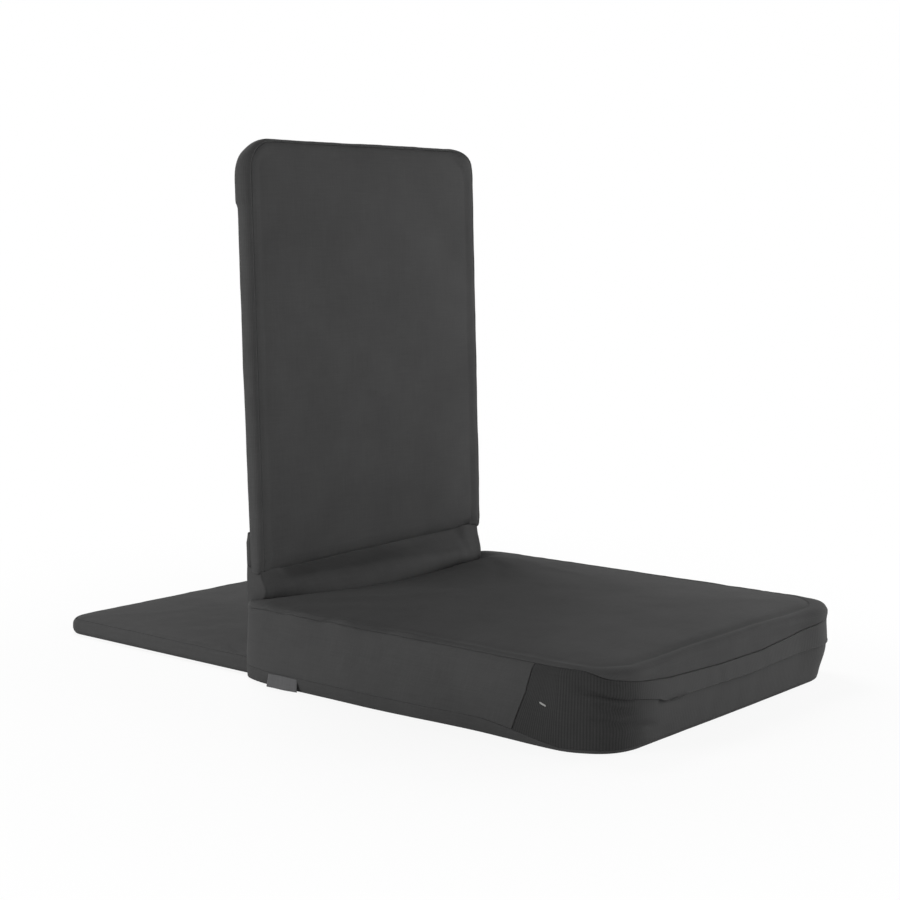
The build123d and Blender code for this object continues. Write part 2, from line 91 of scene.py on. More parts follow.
CLOTH_MM = 1.2             # doubled canvas


# ---------------------------------------------------------------- number helpers
def smooth(a, b, x):
    """0 before a, 1 after b, smooth between."""
    t = np.clip((x - a) / (b - a), 0.0, 1.0)
    return t * t * (3.0 - 2.0 * t)


def bump(x, centre, width):
    """A soft hump, 1 at centre, gone at about two widths."""
    return np.exp(-((x - centre) / width) ** 2)


def ripples(points, scale, seed, octaves=3):
    """Smooth noise from -1 to 1 at each point; scale is the size of a ripple in millimetres."""
    shift = Vector((seed * 17.3, seed * 5.1, seed * 9.7))
    flat = points.reshape(-1, 3)
    values = [noise.fractal(Vector(p) / scale + shift, 1.0, 2.0, octaves) for p in flat]
    return np.array(values).reshape(points.shape[:-1])


def grid_normals(points, closed):
    """Unit normals of a grid of points; closed joins its last column to its first."""
    if closed:
        across = np.roll(points, -1, 0) - np.roll(points, 1, 0)
    else:
        across = np.gradient(points, axis=0)
    along = np.gradient(points, axis=1)
    normal = np.cross(across, along)
    size = np.linalg.norm(normal, axis=2, keepdims=True)
    return normal / np.maximum(size, 1e-9)


def length_along(points):
    """Distance along a row of points from the first of them."""
    steps = np.linalg.norm(np.diff(points, axis=0), axis=1)
    return np.concatenate([[0.0], np.cumsum(steps)])


def cloth_grid(across, along):
    """Cloth coordinates of a grid, from one value per column and one per row."""
    return np.stack([np.repeat(across[:, None], len(along), 1),
                     np.tile(along, (len(across), 1))], 2)


def fold_field(points, path, width):
    """1 on a drawn line, falling to 0 at about two widths from it. The path is a list of points."""
    flat = points.reshape(-1, 3)
    nearest = np.full(len(flat), 1e9)
    along = np.zeros(len(flat))
    corners = [np.array(p, float) for p in path]
    done = 0.0
    total = sum(np.linalg.norm(b - a) for a, b in zip(corners, corners[1:]))
    for a, b in zip(corners, corners[1:]):
        run = b - a
        length = np.linalg.norm(run)
        t = np.clip((flat - a) @ run / length ** 2, 0.0, 1.0)
        gap = np.linalg.norm(flat - (a + t[:, None] * run), axis=1)
        closer = gap < nearest
        nearest = np.where(closer, gap, nearest)
        along = np.where(closer, (done + t * length) / total, along)
        done += length
    fade = np.sin(np.pi * np.clip(along, 0.0, 1.0)) ** 0.6
    return (np.exp(-(nearest / width) ** 2) * fade).reshape(points.shape[:-1])


def add_folds(lift, points, folds, share=1.0):
    """A lift with drawn folds added: each is a path, its width, and how far it stands out."""
    for path, width, out in folds:
        lift = lift + out * fold_field(points, path, width) * share
    return lift


def flat_points(across, along):
    """Points on a plane, for noise and folds that are laid out on flat cloth."""
    return np.stack([across, along + 0 * across, 0 * across], 2)


def pulled_in(points, depth):
    """Points of a closed grid moved inwards, each by its own depth."""
    return points - grid_normals(points, True) * depth[..., None]


# ---------------------------------------------------------------- mesh helpers
def make_object(name, points, faces, uvs):
    """A smooth mesh object; points are in millimetres, and uvs are per point, in mm of cloth."""
    mesh = bpy.data.meshes.new(name)
    mesh.from_pydata([tuple(p * MM) for p in points], [], faces)
    layer = mesh.uv_layers.new(name="cloth")
    index = np.zeros(len(mesh.loops), int)
    mesh.loops.foreach_get("vertex_index", index)
    layer.data.foreach_set("uv", (uvs[index] * MM).astype(np.float32).ravel())
    mesh.polygons.foreach_set("use_smooth", [True] * len(mesh.polygons))
    mesh.update()
    obj = bpy.data.objects.new(name, mesh)
    bpy.context.scene.collection.objects.link(obj)
    return obj


def grid_faces(shape, keep, closed):
    """Quads of a grid of points where keep is true."""
    columns, rows = shape
    faces = []
    for i in range(columns if closed else columns - 1):
        j = (i + 1) % columns
        for k in range(rows - 1):
            if keep[i, k]:
                faces.append((i * rows + k, j * rows + k, j * rows + k + 1, i * rows + k + 1))
    return faces


def sheet_faces(shape):
    """Quads of a whole open grid of points."""
    return grid_faces(shape, np.ones((shape[0] - 1, shape[1] - 1), bool), False)


def ladder_faces(shape, row, start, outward):
    """Close a ring of points by joining mirrored pairs; start is a column that is its own pair."""
    columns, rows = shape
    faces = []
    for n in range(columns // 2):
        corners = [start + n, start + n + 1, start - n - 1, start - n]
        face = []
        for column in corners:
            point = (column % columns) * rows + row
            if point not in face:
                face.append(point)
        faces.append(tuple(face if outward else face[::-1]))
    return faces


def cut_piece(name, points, uvs, faces):
    """An object of the given faces, with only the points that they use."""
    used = sorted({v for face in faces for v in face})
    lookup = {v: n for n, v in enumerate(used)}
    faces = [tuple(lookup[v] for v in face) for face in faces]
    return make_object(name, points.reshape(-1, 3)[used], faces, uvs.reshape(-1, 2)[used])


def cut_sheet(name, points, uvs):
    """An object of a whole open grid of points."""
    return cut_piece(name, points, uvs, sheet_faces(points.shape[:2]))


def mesh_area(obj):
    """Total area of an object's faces, in square metres."""
    return sum(face.area for face in obj.data.polygons)


def seam_points(kind):
    """True at the grid points where faces of different kinds meet, on a closed grid."""
    lower = np.concatenate([kind[:, :1], kind], axis=1)
    upper = np.concatenate([kind, kind[:, -1:]], axis=1)
    return (lower != upper) | (lower != np.roll(lower, 1, 0)) | (upper != np.roll(upper, 1, 0))


def apply_modifiers(obj):
    """Bake the object's modifiers into its mesh."""
    graph = bpy.context.evaluated_depsgraph_get()
    graph.update()
    mesh = bpy.data.meshes.new_from_object(obj.evaluated_get(graph), depsgraph=graph)
    old = obj.data
    obj.modifiers.clear()
    obj.data = mesh
    bpy.data.meshes.remove(old)
    mesh.name = obj.name


def thicken(obj, thickness_mm=CLOTH_MM):
    """Give a cloth piece its thickness, inwards from the face that shows."""
    solid = obj.modifiers.new("thickness", "SOLIDIFY")
    solid.thickness = thickness_mm * MM
    solid.offset = -1.0
    apply_modifiers(obj)


def give_material(obj, slot_name):
    """The finish of a slot, in place of whatever the object had."""
    obj.data.materials.clear()
    obj.data.materials.append(materials[slot_name])


def finish_piece(obj, slot_name, body, *nodes):
    """Material, body and the CAD nodes that a finished piece stands for."""
    give_material(obj, slot_name)
    if body:
        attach(obj, body)
    if nodes:
        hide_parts(*nodes)
    return obj


def finish_sheet(obj, thickness_mm, slot_name, body, node):
    """Finish a sheet of cloth and return the area of its one face, from before it was thickened."""
    area = mesh_area(obj)
    thicken(obj, thickness_mm)
    finish_piece(obj, slot_name, body, node)
    return area


def lean_points(points):
    """Turn upright points back about the pivot."""
    turned = points.copy()
    y = points[..., 1] - PIVOT_Y
    z = points[..., 2] - PIVOT_Z
    turned[..., 1] = PIVOT_Y + y * math.cos(LEAN) + z * math.sin(LEAN)
    turned[..., 2] = PIVOT_Z - y * math.sin(LEAN) + z * math.cos(LEAN)
    return turned


def eased(low, high, steps):
    """Values from low to high, closer together near both ends; low itself is left out."""
    t = np.arange(1, steps + 1) / steps
    return low + (high - low) * (0.5 - 0.5 * np.cos(np.pi * t))


def outline(half, low, high, low_r, high_r, counts, side_t=None):
    """Points round a rectangle with round corners.

    counts is how many steps an end, a low corner, a side and a high corner have. The points run
    along the low end to +x, up that side, back along the high end and down. side_t says where
    the points of a side lie, from 0 to 1.
    """
    end, low_steps, side, high_steps = counts
    t = np.arange(side) / side if side_t is None else side_t
    across = np.arange(end) / end
    low_x = half - low_r
    high_x = half - high_r
    y0 = low + low_r
    y1 = high - high_r

    def corner(x, y, radius, start, steps):
        angle = np.radians(start + 90.0 * np.arange(steps) / steps)
        return np.stack([x + radius * np.cos(angle), y + radius * np.sin(angle)], 1)

    def long_side(x, t):
        return np.stack([np.full(len(t), x), y0 + (y1 - y0) * t], 1)

    back_down = np.concatenate([[1.0], t[:0:-1]])
    return np.concatenate([
        np.stack([-low_x + 2.0 * low_x * across, np.full(end, low)], 1),
        corner(low_x, y0, low_r, 270, low_steps),
        long_side(half, t),
        corner(high_x, y1, high_r, 0, high_steps),
        np.stack([high_x - 2.0 * high_x * across, np.full(end, high)], 1),
        corner(-high_x, y1, high_r, 90, high_steps),
        long_side(-half, back_down),
        corner(-low_x, y0, low_r, 180, low_steps),
    ])


def drawn_in(half, low, high, low_r, high_r, counts, inset, side_t=None):
    """The outline drawn in by inset, its corners tightening with it."""
    room = min(half - inset, (high - low) / 2.0 - inset)
    low_r = min(max(low_r - inset, 2.0 + 0.1 * inset), 0.8 * room)
    high_r = min(max(high_r - inset, 2.0 + 0.1 * inset), 0.8 * room)
    return outline(half - inset, low + inset, high - inset, low_r, high_r, counts, side_t)


def ring_walk(ring, start):
    """Distance round a closed ring of points from the start column."""
    return np.roll(length_along(np.roll(ring, -start, 0)), start)


def outward_of(ring):
    """Unit vectors that point out of a ring that runs anticlockwise."""
    tangent = np.roll(ring, -1, 0) - np.roll(ring, 1, 0)
    out = np.stack([tangent[:, 1], -tangent[:, 0]], 1)
    return out / np.maximum(np.linalg.norm(out, axis=1, keepdims=True), 1e-9)


# ---------------------------------------------------------------- cloth simulation
SIM_FRAMES = 20
FILL_PRESSURE = 4.0        # what the foam and wadding press with, as the cloth solver counts it
CLOTH_STIFFNESS = 15.0
PILLOW_CELL = 9.0          # grid step of a flat face while it is filled, in mm


def simulate(points, closed, held, slack):
    """Where a grid of cloth moves to under pressure from inside, with the held points fixed.

    slack is how much longer the cloth is than the shape it starts from, as a share.
    """
    shape = points.shape[:2]
    faces = grid_faces(shape, np.ones((shape[0], shape[1] - 1), bool), closed)
    obj = make_object("cloth_in_work", points.reshape(-1, 3), faces,
                      np.zeros((points.size // 3, 2)))
    group = obj.vertex_groups.new(name="held")
    for index in np.flatnonzero(held.ravel()):
        group.add([int(index)], 1.0, "REPLACE")
    cloth = obj.modifiers.new("cloth", "CLOTH")
    cloth.collision_settings.use_collision = False
    cloth.point_cache.frame_start = 1
    cloth.point_cache.frame_end = SIM_FRAMES
    settings = cloth.settings
    settings.quality = 6
    settings.mass = 0.15
    settings.tension_stiffness = CLOTH_STIFFNESS
    settings.compression_stiffness = CLOTH_STIFFNESS
    settings.shear_stiffness = CLOTH_STIFFNESS / 3.0
    settings.bending_stiffness = 0.05
    settings.vertex_group_mass = "held"
    settings.use_pressure = True
    settings.uniform_pressure_force = FILL_PRESSURE
    settings.shrink_min = -slack
    settings.effector_weights.gravity = 0.0
    scene = bpy.context.scene
    scene.frame_start = 1
    scene.frame_end = SIM_FRAMES
    for frame_number in range(1, SIM_FRAMES + 1):
        scene.frame_set(frame_number)
    moved = obj.evaluated_get(bpy.context.evaluated_depsgraph_get()).to_mesh()
    flat = np.zeros(3 * len(moved.vertices))
    moved.vertices.foreach_get("co", flat)
    scene.frame_set(1)
    mesh = obj.data
    bpy.data.objects.remove(obj)
    bpy.data.meshes.remove(mesh)
    return flat.reshape(points.shape) / MM


def limited(moved, cap_mm):
    """A field of displacements scaled so that none is longer than the cap."""
    longest = np.linalg.norm(moved, axis=2).max()
    return moved * min(1.0, cap_mm / max(longest, 1e-9))


def refined(coarse, pick_columns, pick_rows, shape):
    """Values known at some columns and rows, spread over a whole grid."""
    fine = np.zeros(shape)
    for axis in range(3):
        part = np.array([np.interp(np.arange(shape[1]), pick_rows, row)
                         for row in coarse[..., axis]])
        fine[..., axis] = np.array([np.interp(np.arange(shape[0]), pick_columns, column)
                                    for column in part.T]).T
    return fine


def filled_sides(points, held_rows, held_columns, cap_mm):
    """How the cloth of a closed band moves when it is filled, held along some rows and columns."""
    columns, rows = points.shape[:2]
    pick_columns = sorted({*range(0, columns, 3), *held_columns})
    pick_rows = sorted({*range(0, rows, 2), *held_rows})
    coarse = points[np.ix_(pick_columns, pick_rows)]
    held = np.zeros(coarse.shape[:2], bool)
    held[:, [pick_rows.index(row) for row in held_rows]] = True
    held[[pick_columns.index(column) for column in held_columns]] = True
    moved = limited(simulate(coarse, True, held, 0.001) - coarse, cap_mm)
    moved = np.concatenate([moved, moved[:1]], axis=0)
    return refined(moved, pick_columns + [columns], pick_rows, points.shape)


def pillow(low, high, cap_mm, seed):
    """How far a flat cloth swells when it is filled and held along its edges.

    low and high are two opposite corners. The result gives the swelling at any x and y.
    """
    counts = [int(round((b - a) / PILLOW_CELL)) + 1 for a, b in zip(low, high)]
    across, along = (np.linspace(a, b, n) for a, b, n in zip(low, high, counts))
    plain = np.zeros((counts[0], counts[1], 3))
    plain[..., 0] = across[:, None]
    plain[..., 1] = along[None, :]
    plain[..., 2] = 0.3 * ripples(plain, 90.0, seed, 2)
    held = np.ones(plain.shape[:2], bool)
    held[1:-1, 1:-1] = False
    moved = limited(simulate(plain, False, held, 0.004) - plain, cap_mm)[..., 2]

    def swelling(x, y):
        u = np.clip((x - low[0]) / (high[0] - low[0]), 0.0, 1.0) * (counts[0] - 1.001)
        v = np.clip((y - low[1]) / (high[1] - low[1]), 0.0, 1.0) * (counts[1] - 1.001)
        i, k = u.astype(int), v.astype(int)
        s, t = u - i, v - k
        return ((moved[i, k] * (1 - s) + moved[i + 1, k] * s) * (1 - t)
                + (moved[i, k + 1] * (1 - s) + moved[i + 1, k + 1] * s) * t)

    return swelling


# ---------------------------------------------------------------- materials
WAVE_UNIT = 0.314159       # a wave texture of scale 1 repeats every 2 pi / 20 metres
THREAD_MM = 1.1            # drawn coarse: canvas threads are usually near 0.6 mm apart
RIB_MM = 2.6               # the front panel's ribs, drawn coarser too
PAINTED_LIGHT_FROM, PAINTED_LIGHT_TO = -0.174, -0.112   # X in metres over which the painted front light comes in
PAINTED_LIGHT_SHARE = 0.82


def linear(hex_colour):
    """An sRGB hex colour as linear RGBA."""
    channels = [int(hex_colour[n:n + 2], 16) / 255.0 for n in (1, 3, 5)]
    return [c / 12.92 if c <= 0.04045 else ((c + 0.055) / 1.055) ** 2.4 for c in channels] + [1.0]


def add_node(tree, kind, settings=None, values=None, links=None):
    """Add a node: settings are its properties, values its sockets, links sockets fed by others."""
    made = tree.nodes.new(kind)
    for key, value in (settings or {}).items():
        setattr(made, key, value)
    for key, value in (values or {}).items():
        made.inputs[key].default_value = value
    for key, source in (links or {}).items():
        tree.links.new(source, made.inputs[key])
    return made


def new_material(name):
    """An empty node material with its output."""
    material = bpy.data.materials.new(name)
    material.use_nodes = True
    tree = material.node_tree
    tree.nodes.clear()
    out = add_node(tree, "ShaderNodeOutputMaterial")
    return material, tree, out


def noise_of(tree, vector, size_mm, detail, roughness=0.5):
    """Noise whose largest features are about size_mm across."""
    return add_node(tree, "ShaderNodeTexNoise", None,
                    {"Scale": 1.0 / (size_mm * MM), "Detail": detail, "Roughness": roughness},
                    {"Vector": vector})


def shaded_by(material, tree, out, values, links):
    """The material, closed with a principled shader."""
    shader = add_node(tree, "ShaderNodeBsdfPrincipled", None, values, links)
    tree.links.new(shader.outputs["BSDF"], out.inputs["Surface"])
    return material


def woven_cotton(name, colour, light, dark, thread_mm, rib_mm=None, relief_strength=0.3,
                 sheen=0.0, by_position=False, front_painted_light=None):
    """Woven yarn: its thread pattern, slubs and faint fading give a dry, even, matte face.

    The front colour argument is painted light: a lighter colour that the cloth takes on towards the
    chair's front face, standing in for the stronger light that falls there. It also flattens the
    ribs there.
    """
    material, tree, out = new_material(name)
    place = add_node(tree, "ShaderNodeNewGeometry").outputs["Position"]
    if by_position:
        cloth = place
    else:
        cloth = add_node(tree, "ShaderNodeUVMap", {"uv_map": "cloth"}).outputs["UV"]
    waves = []
    for direction, pitch_mm in (("X", rib_mm or thread_mm), ("Y", thread_mm)):
        wave = add_node(tree, "ShaderNodeTexWave", {"bands_direction": direction},
                        {"Scale": WAVE_UNIT / (pitch_mm * MM), "Distortion": 0.35,
                         "Detail": 1.0, "Detail Scale": 0.4}, {"Vector": cloth})
        waves.append(wave.outputs["Fac"])
    share = 1.0 if rib_mm else 0.5
    threads = add_node(tree, "ShaderNodeMix", {"data_type": "FLOAT"}, {"Factor": share},
                       {"A": waves[1], "B": waves[0]})
    # slubs: thick places in the yarn, drawn out along both thread directions
    slubs = []
    for stretch in ((0.05, 1.0, 1.0), (1.0, 0.05, 1.0)):
        drawn = add_node(tree, "ShaderNodeMapping", None, {"Scale": stretch}, {"Vector": cloth})
        slubs.append(noise_of(tree, drawn.outputs[0], 1.6, 2.0).outputs["Fac"])
    slub_mean = add_node(tree, "ShaderNodeMix", {"data_type": "FLOAT"}, {"Factor": 0.5},
                         {"A": slubs[0], "B": slubs[1]})
    fading = noise_of(tree, place, 60, 4.0, 0.55)
    tone = add_node(tree, "ShaderNodeMix", {"data_type": "FLOAT"}, {"Factor": 0.55},
                    {"A": slub_mean.outputs["Result"], "B": fading.outputs["Fac"]})
    ramp = add_node(tree, "ShaderNodeValToRGB", links={"Fac": tone.outputs["Result"]})
    ramp.color_ramp.elements[0].position = 0.36
    ramp.color_ramp.elements[0].color = linear(dark)
    ramp.color_ramp.elements[1].position = 0.64
    ramp.color_ramp.elements[1].color = linear(light)
    ramp.color_ramp.elements.new(0.5).color = linear(colour)
    # the gaps between threads are a little darker than the threads
    low = 0.84 if rib_mm else 0.90
    gap = add_node(tree, "ShaderNodeMapRange", None, {"To Min": low, "To Max": 2.0 - low},
                   {"Value": threads.outputs["Result"]})
    shaded = add_node(tree, "ShaderNodeMix", {"data_type": "RGBA", "blend_type": "MULTIPLY"},
                      {"Factor": 1.0}, {"A": ramp.outputs["Color"], "B": gap.outputs["Result"]})
    cloth_colour = shaded.outputs["Result"]
    # painted light: towards the front face the cloth is mixed into a lighter colour, for the light
    # that falls there
    if front_painted_light:
        split = add_node(tree, "ShaderNodeSeparateXYZ", links={0: place})
        painted_light_share = add_node(tree, "ShaderNodeMapRange", {"interpolation_type": "SMOOTHSTEP"},
                               {"From Min": PAINTED_LIGHT_FROM, "From Max": PAINTED_LIGHT_TO, "To Min": 0.0,
                                "To Max": PAINTED_LIGHT_SHARE}, {"Value": split.outputs["X"]})
        painted_lighter_front = add_node(tree, "ShaderNodeMix", {"data_type": "RGBA"}, {"B": linear(front_painted_light)},
                        {"Factor": painted_light_share.outputs["Result"], "A": cloth_colour})
        cloth_colour = painted_lighter_front.outputs["Result"]
    fuzz = noise_of(tree, place, 0.8, 3.0, 0.7)
    height = add_node(tree, "ShaderNodeMath", {"operation": "MULTIPLY_ADD"}, {1: 0.3},
                      {0: fuzz.outputs["Fac"], 2: threads.outputs["Result"]})
    relief = add_node(tree, "ShaderNodeBump", None,
                      {"Strength": relief_strength, "Distance": 0.2 * MM},
                      {"Height": height.outputs[0]})
    return shaded_by(material, tree, out,
                     {"Roughness": 0.95, "Specular IOR Level": 0.12, "IOR": 1.5,
                      "Sheen Weight": sheen, "Sheen Roughness": 0.5},
                     {"Base Color": cloth_colour, "Normal": relief.outputs["Normal"]})


def powder_coated_steel(name, colour):
    """Powder-coated steel: satin, with the faint orange peel of baked powder."""
    material, tree, out = new_material(name)
    place = add_node(tree, "ShaderNodeNewGeometry").outputs["Position"]
    peel = noise_of(tree, place, 1.6, 2.0)
    tint = add_node(tree, "ShaderNodeMix", {"data_type": "RGBA"},
                    {"A": linear(colour), "B": linear("#2c2c2e")},
                    {"Factor": peel.outputs["Fac"]})
    rough = add_node(tree, "ShaderNodeMapRange", None, {"To Min": 0.38, "To Max": 0.55},
                     {"Value": peel.outputs["Fac"]})
    relief = add_node(tree, "ShaderNodeBump", None, {"Strength": 0.12, "Distance": 0.2 * MM},
                      {"Height": peel.outputs["Fac"]})
    return shaded_by(material, tree, out, {"IOR": 1.5},
                     {"Base Color": tint.outputs["Result"], "Roughness": rough.outputs["Result"],
                      "Normal": relief.outputs["Normal"]})


def plated_metal(name, colour, rough_low, rough_high):
    """Zinc or nickel plate, tumbled: soft reflections broken by fine scratches."""
    material, tree, out = new_material(name)
    place = add_node(tree, "ShaderNodeNewGeometry").outputs["Position"]
    scuff = noise_of(tree, place, 1.2, 6.0, 0.7)
    rough = add_node(tree, "ShaderNodeMapRange", None, {"To Min": rough_low, "To Max": rough_high},
                     {"Value": scuff.outputs["Fac"]})
    tint = add_node(tree, "ShaderNodeMix", {"data_type": "RGBA"},
                    {"A": linear(colour), "B": linear("#8d8d8f")},
                    {"Factor": scuff.outputs["Fac"]})
    return shaded_by(material, tree, out, {"Metallic": 1.0},
                     {"Base Color": tint.outputs["Result"], "Roughness": rough.outputs["Result"]})


def moulded_nylon(name, colour):
    """Moulded nylon: matte, slightly waxy, with faint flow mottling."""
    material, tree, out = new_material(name)
    place = add_node(tree, "ShaderNodeNewGeometry").outputs["Position"]
    flow = noise_of(tree, place, 3.0, 3.0)
    tint = add_node(tree, "ShaderNodeMix", {"data_type": "RGBA", "blend_type": "MULTIPLY"},
                    {"A": linear(colour), "Factor": 0.12}, {"B": flow.outputs["Color"]})
    rough = add_node(tree, "ShaderNodeMapRange", None, {"To Min": 0.42, "To Max": 0.6},
                     {"Value": flow.outputs["Fac"]})
    return shaded_by(material, tree, out, {"IOR": 1.53},
                     {"Base Color": tint.outputs["Result"], "Roughness": rough.outputs["Result"]})


def make_materials():
    """Every finish on the chair, by the record's slot name."""
    return {
        "canvas": woven_cotton("piece_dyed_cotton_canvas", "#424242", "#454545", "#3f3f3f",
                               THREAD_MM),
        "base_canvas": woven_cotton("base_cotton_canvas", "#404040", "#434343", "#3d3d3d",
                                    THREAD_MM),
        # the ribbed cloth is painted lighter towards the front face: painted light
        "ribbed_canvas": woven_cotton("ribbed_cotton_bedford", "#333333", "#363636", "#303030",
                                      THREAD_MM, rib_mm=RIB_MM, relief_strength=0.4,
                                      front_painted_light="#474747"),
        "zip_tape": woven_cotton("woven_zip_tape", "#2e2e30", "#343436", "#28282a", 0.8,
                                 by_position=True),
        "light_thread": woven_cotton("polyester_bar_tack", "#9c9c9a", "#aaaaa8", "#8a8a88", 0.6,
                                     by_position=True),
        "woven_tab": woven_cotton("satin_woven_tab", "#585859", "#5e5e5f", "#525253", 0.8,
                                  sheen=0.1),
        # the foam is hidden inside the covers, so it borrows the woven pattern in its own colour
        "foam": woven_cotton("cut_foam", "#b9b6a8", "#c4c1b4", "#a8a597", 1.8, by_position=True),
        "frame_tube": powder_coated_steel("powder_coated_tube", "#1d1d1f"),
        "bracket_steel": powder_coated_steel("powder_coated_bracket", "#202022"),
        "pin_steel": plated_metal("zinc_plated_pin", "#c3c4c6", 0.28, 0.45),
        "zip_metal": plated_metal("tumbled_nickel_zip", "#b9b7b2", 0.22, 0.4),
        "nylon": moulded_nylon("natural_nylon", "#d9d6cb"),
        "zip_coil": moulded_nylon("dyed_nylon_coil", "#2a2a2c"),
    }


# ---------------------------------------------------------------- stage, light and camera
CAMERA_AT = (-1.4240, -1.2109, 0.4463)
CAMERA_TURN = -0.8781      # radians about Z, from looking along +Y
CAMERA_DIP = 0.1231        # radians below level
CAMERA_ROLL = 0.0046       # radians about the line of sight
CAMERA_LENS_MM = 72.44


def make_camera():
    """The photograph's viewpoint."""
    data = bpy.data.cameras.new("photo_camera")
    data.lens = CAMERA_LENS_MM
    data.sensor_width = 36.0
    data.sensor_fit = "HORIZONTAL"
    data.clip_start = 0.05
    forward = Vector((-math.sin(CAMERA_TURN) * math.cos(CAMERA_DIP),
                      math.cos(CAMERA_TURN) * math.cos(CAMERA_DIP), -math.sin(CAMERA_DIP)))
    right = Vector((math.cos(CAMERA_TURN), math.sin(CAMERA_TURN), 0.0))
    up = right.cross(forward)
    rolled_right = right * math.cos(CAMERA_ROLL) + up * math.sin(CAMERA_ROLL)
    rolled_up = up * math.cos(CAMERA_ROLL) - right * math.sin(CAMERA_ROLL)
    turn = Matrix((rolled_right, rolled_up, -forward)).transposed().to_4x4()
    camera = bpy.data.objects.new("photo_camera", data)
    camera.matrix_world = Matrix.Translation(CAMERA_AT) @ turn
    bpy.context.scene.collection.objects.link(camera)
    bpy.context.scene.camera = camera


def soft_light(name, at, aim, size, power):
    """A square softbox."""
    data = bpy.data.lights.new(name, "AREA")
    data.shape = "SQUARE"
    data.size = size
    data.energy = power
    lamp = bpy.data.objects.new(name, data)
    lamp.location = at
    direction = Vector(aim) - Vector(at)
    lamp.rotation_euler = direction.to_track_quat("-Z", "Y").to_euler()
    bpy.context.scene.collection.objects.link(lamp)


def camera_or_mirror(tree):
    """1 for rays that the eye follows, straight or mirrored, and 0 for rays that only light."""
    rays = add_node(tree, "ShaderNodeLightPath")
    seen = add_node(tree, "ShaderNodeMath", {"operation": "MAXIMUM"},
                    links={0: rays.outputs["Is Camera Ray"], 1: rays.outputs["Is Glossy Ray"]})
    return seen.outputs[0]


def make_floor():
    """A large white floor: white to the camera, and still dimmed where the chair shades it."""
    reach = 6.0
    mesh = bpy.data.meshes.new("floor")
    mesh.from_pydata([(-reach, -reach, 0), (reach, -reach, 0), (reach, reach, 0),
                      (-reach, reach, 0)], [], [(0, 1, 2, 3)])
    floor = bpy.data.objects.new("floor", mesh)
    floor.location.z = -0.0004
    bpy.context.scene.collection.objects.link(floor)
    material, tree, out = new_material("painted_floor")
    seen = camera_or_mirror(tree)
    place = add_node(tree, "ShaderNodeNewGeometry")
    away = add_node(tree, "ShaderNodeVectorMath", {"operation": "LENGTH"}, None,
                    {0: place.outputs["Position"]})
    # near the chair a part of the floor's white is paint, which shadows can dim
    glow_share = add_node(tree, "ShaderNodeMapRange", {"interpolation_type": "SMOOTHSTEP"},
                          {"From Min": 0.25, "From Max": 0.9, "To Min": 0.88, "To Max": 1.0},
                          {"Value": away.outputs["Value"]})
    share = add_node(tree, "ShaderNodeMath", {"operation": "MULTIPLY"}, None,
                     {0: seen, 1: glow_share.outputs["Result"]})
    paint = add_node(tree, "ShaderNodeBsdfDiffuse", None, {"Color": linear("#f4f4f4")})
    glow = add_node(tree, "ShaderNodeEmission", None, {"Color": linear("#ffffff"),
                                                      "Strength": 1.0})
    mixed = add_node(tree, "ShaderNodeMixShader", None, None,
                     {"Fac": share.outputs[0], 1: paint.outputs[0], 2: glow.outputs[0]})
    tree.links.new(mixed.outputs[0], out.inputs["Surface"])
    mesh.materials.append(material)


def make_world():
    """White to the camera, a plain grey fill to the object."""
    world = bpy.data.worlds.new("studio")
    bpy.context.scene.world = world
    world.use_nodes = True
    tree = world.node_tree
    tree.nodes.clear()
    out = add_node(tree, "ShaderNodeOutputWorld")
    fill = add_node(tree, "ShaderNodeBackground", None,
                    {"Color": linear("#ffffff"), "Strength": 0.12})
    white = add_node(tree, "ShaderNodeBackground", None,
                     {"Color": linear("#ffffff"), "Strength": 1.0})
    mixed = add_node(tree, "ShaderNodeMixShader", None, None,
                     {"Fac": camera_or_mirror(tree), 1: fill.outputs[0], 2: white.outputs[0]})
    tree.links.new(mixed.outputs[0], out.inputs["Surface"])


def make_lights():
    """Softboxes in front, left, overhead behind and right, and a low one for the front edge."""
    middle = (0.0, -0.05, 0.2)
    soft_light("front_box", (-0.8, -2.7, 0.7), middle, 1.4, 26.0)
    soft_light("left_box", (-1.8, 0.9, 0.7), middle, 0.9, 27.0)
    soft_light("rear_top_box", (0.6, 1.6, 2.2), middle, 1.2, 40.0)
    soft_light("right_box", (1.0, -0.6, 0.5), middle, 0.6, 6.0)
    soft_light("low_front_box", (0.9, -1.6, 0.35), (0.05, -0.37, 0.1), 0.6, 4.6)


# ---------------------------------------------------------------- seat
SEAT_COUNTS = (80, 36, 150, 9)   # steps along an end, a front corner, a side, a rear corner
SEAT_END, SEAT_LOW, SEAT_SIDE, SEAT_HIGH = SEAT_COUNTS
FAR_SIDE = SEAT_END + SEAT_LOW   # first column of the +x side
NEAR_SIDE = FAR_SIDE + SEAT_SIDE + SEAT_HIGH + SEAT_END + SEAT_HIGH
REAR_MIDDLE = FAR_SIDE + SEAT_SIDE + SEAT_HIGH + SEAT_END // 2
SEAM_STEPS = 12            # columns from the front corner to the ribbed panel's rear seam
SEAT_ROWS = (6, 24, 12, 10)   # rows up to the band seam, lap edge, top seam and top edge
BAND_ROW, LAP_ROW, SEAM_ROW, EDGE_ROW = np.cumsum(SEAT_ROWS)
TOP_RINGS = 52             # rows from the top edge inwards
TOP_MARGIN = 3.0           # how far in from the outline the filled top is held
TOP_EDGE_H = SIDE_HIGH + EDGE_ROUND * math.radians(80)
TOP_SEAM_H = 72.3          # the top seam on the sides, measured up the cloth


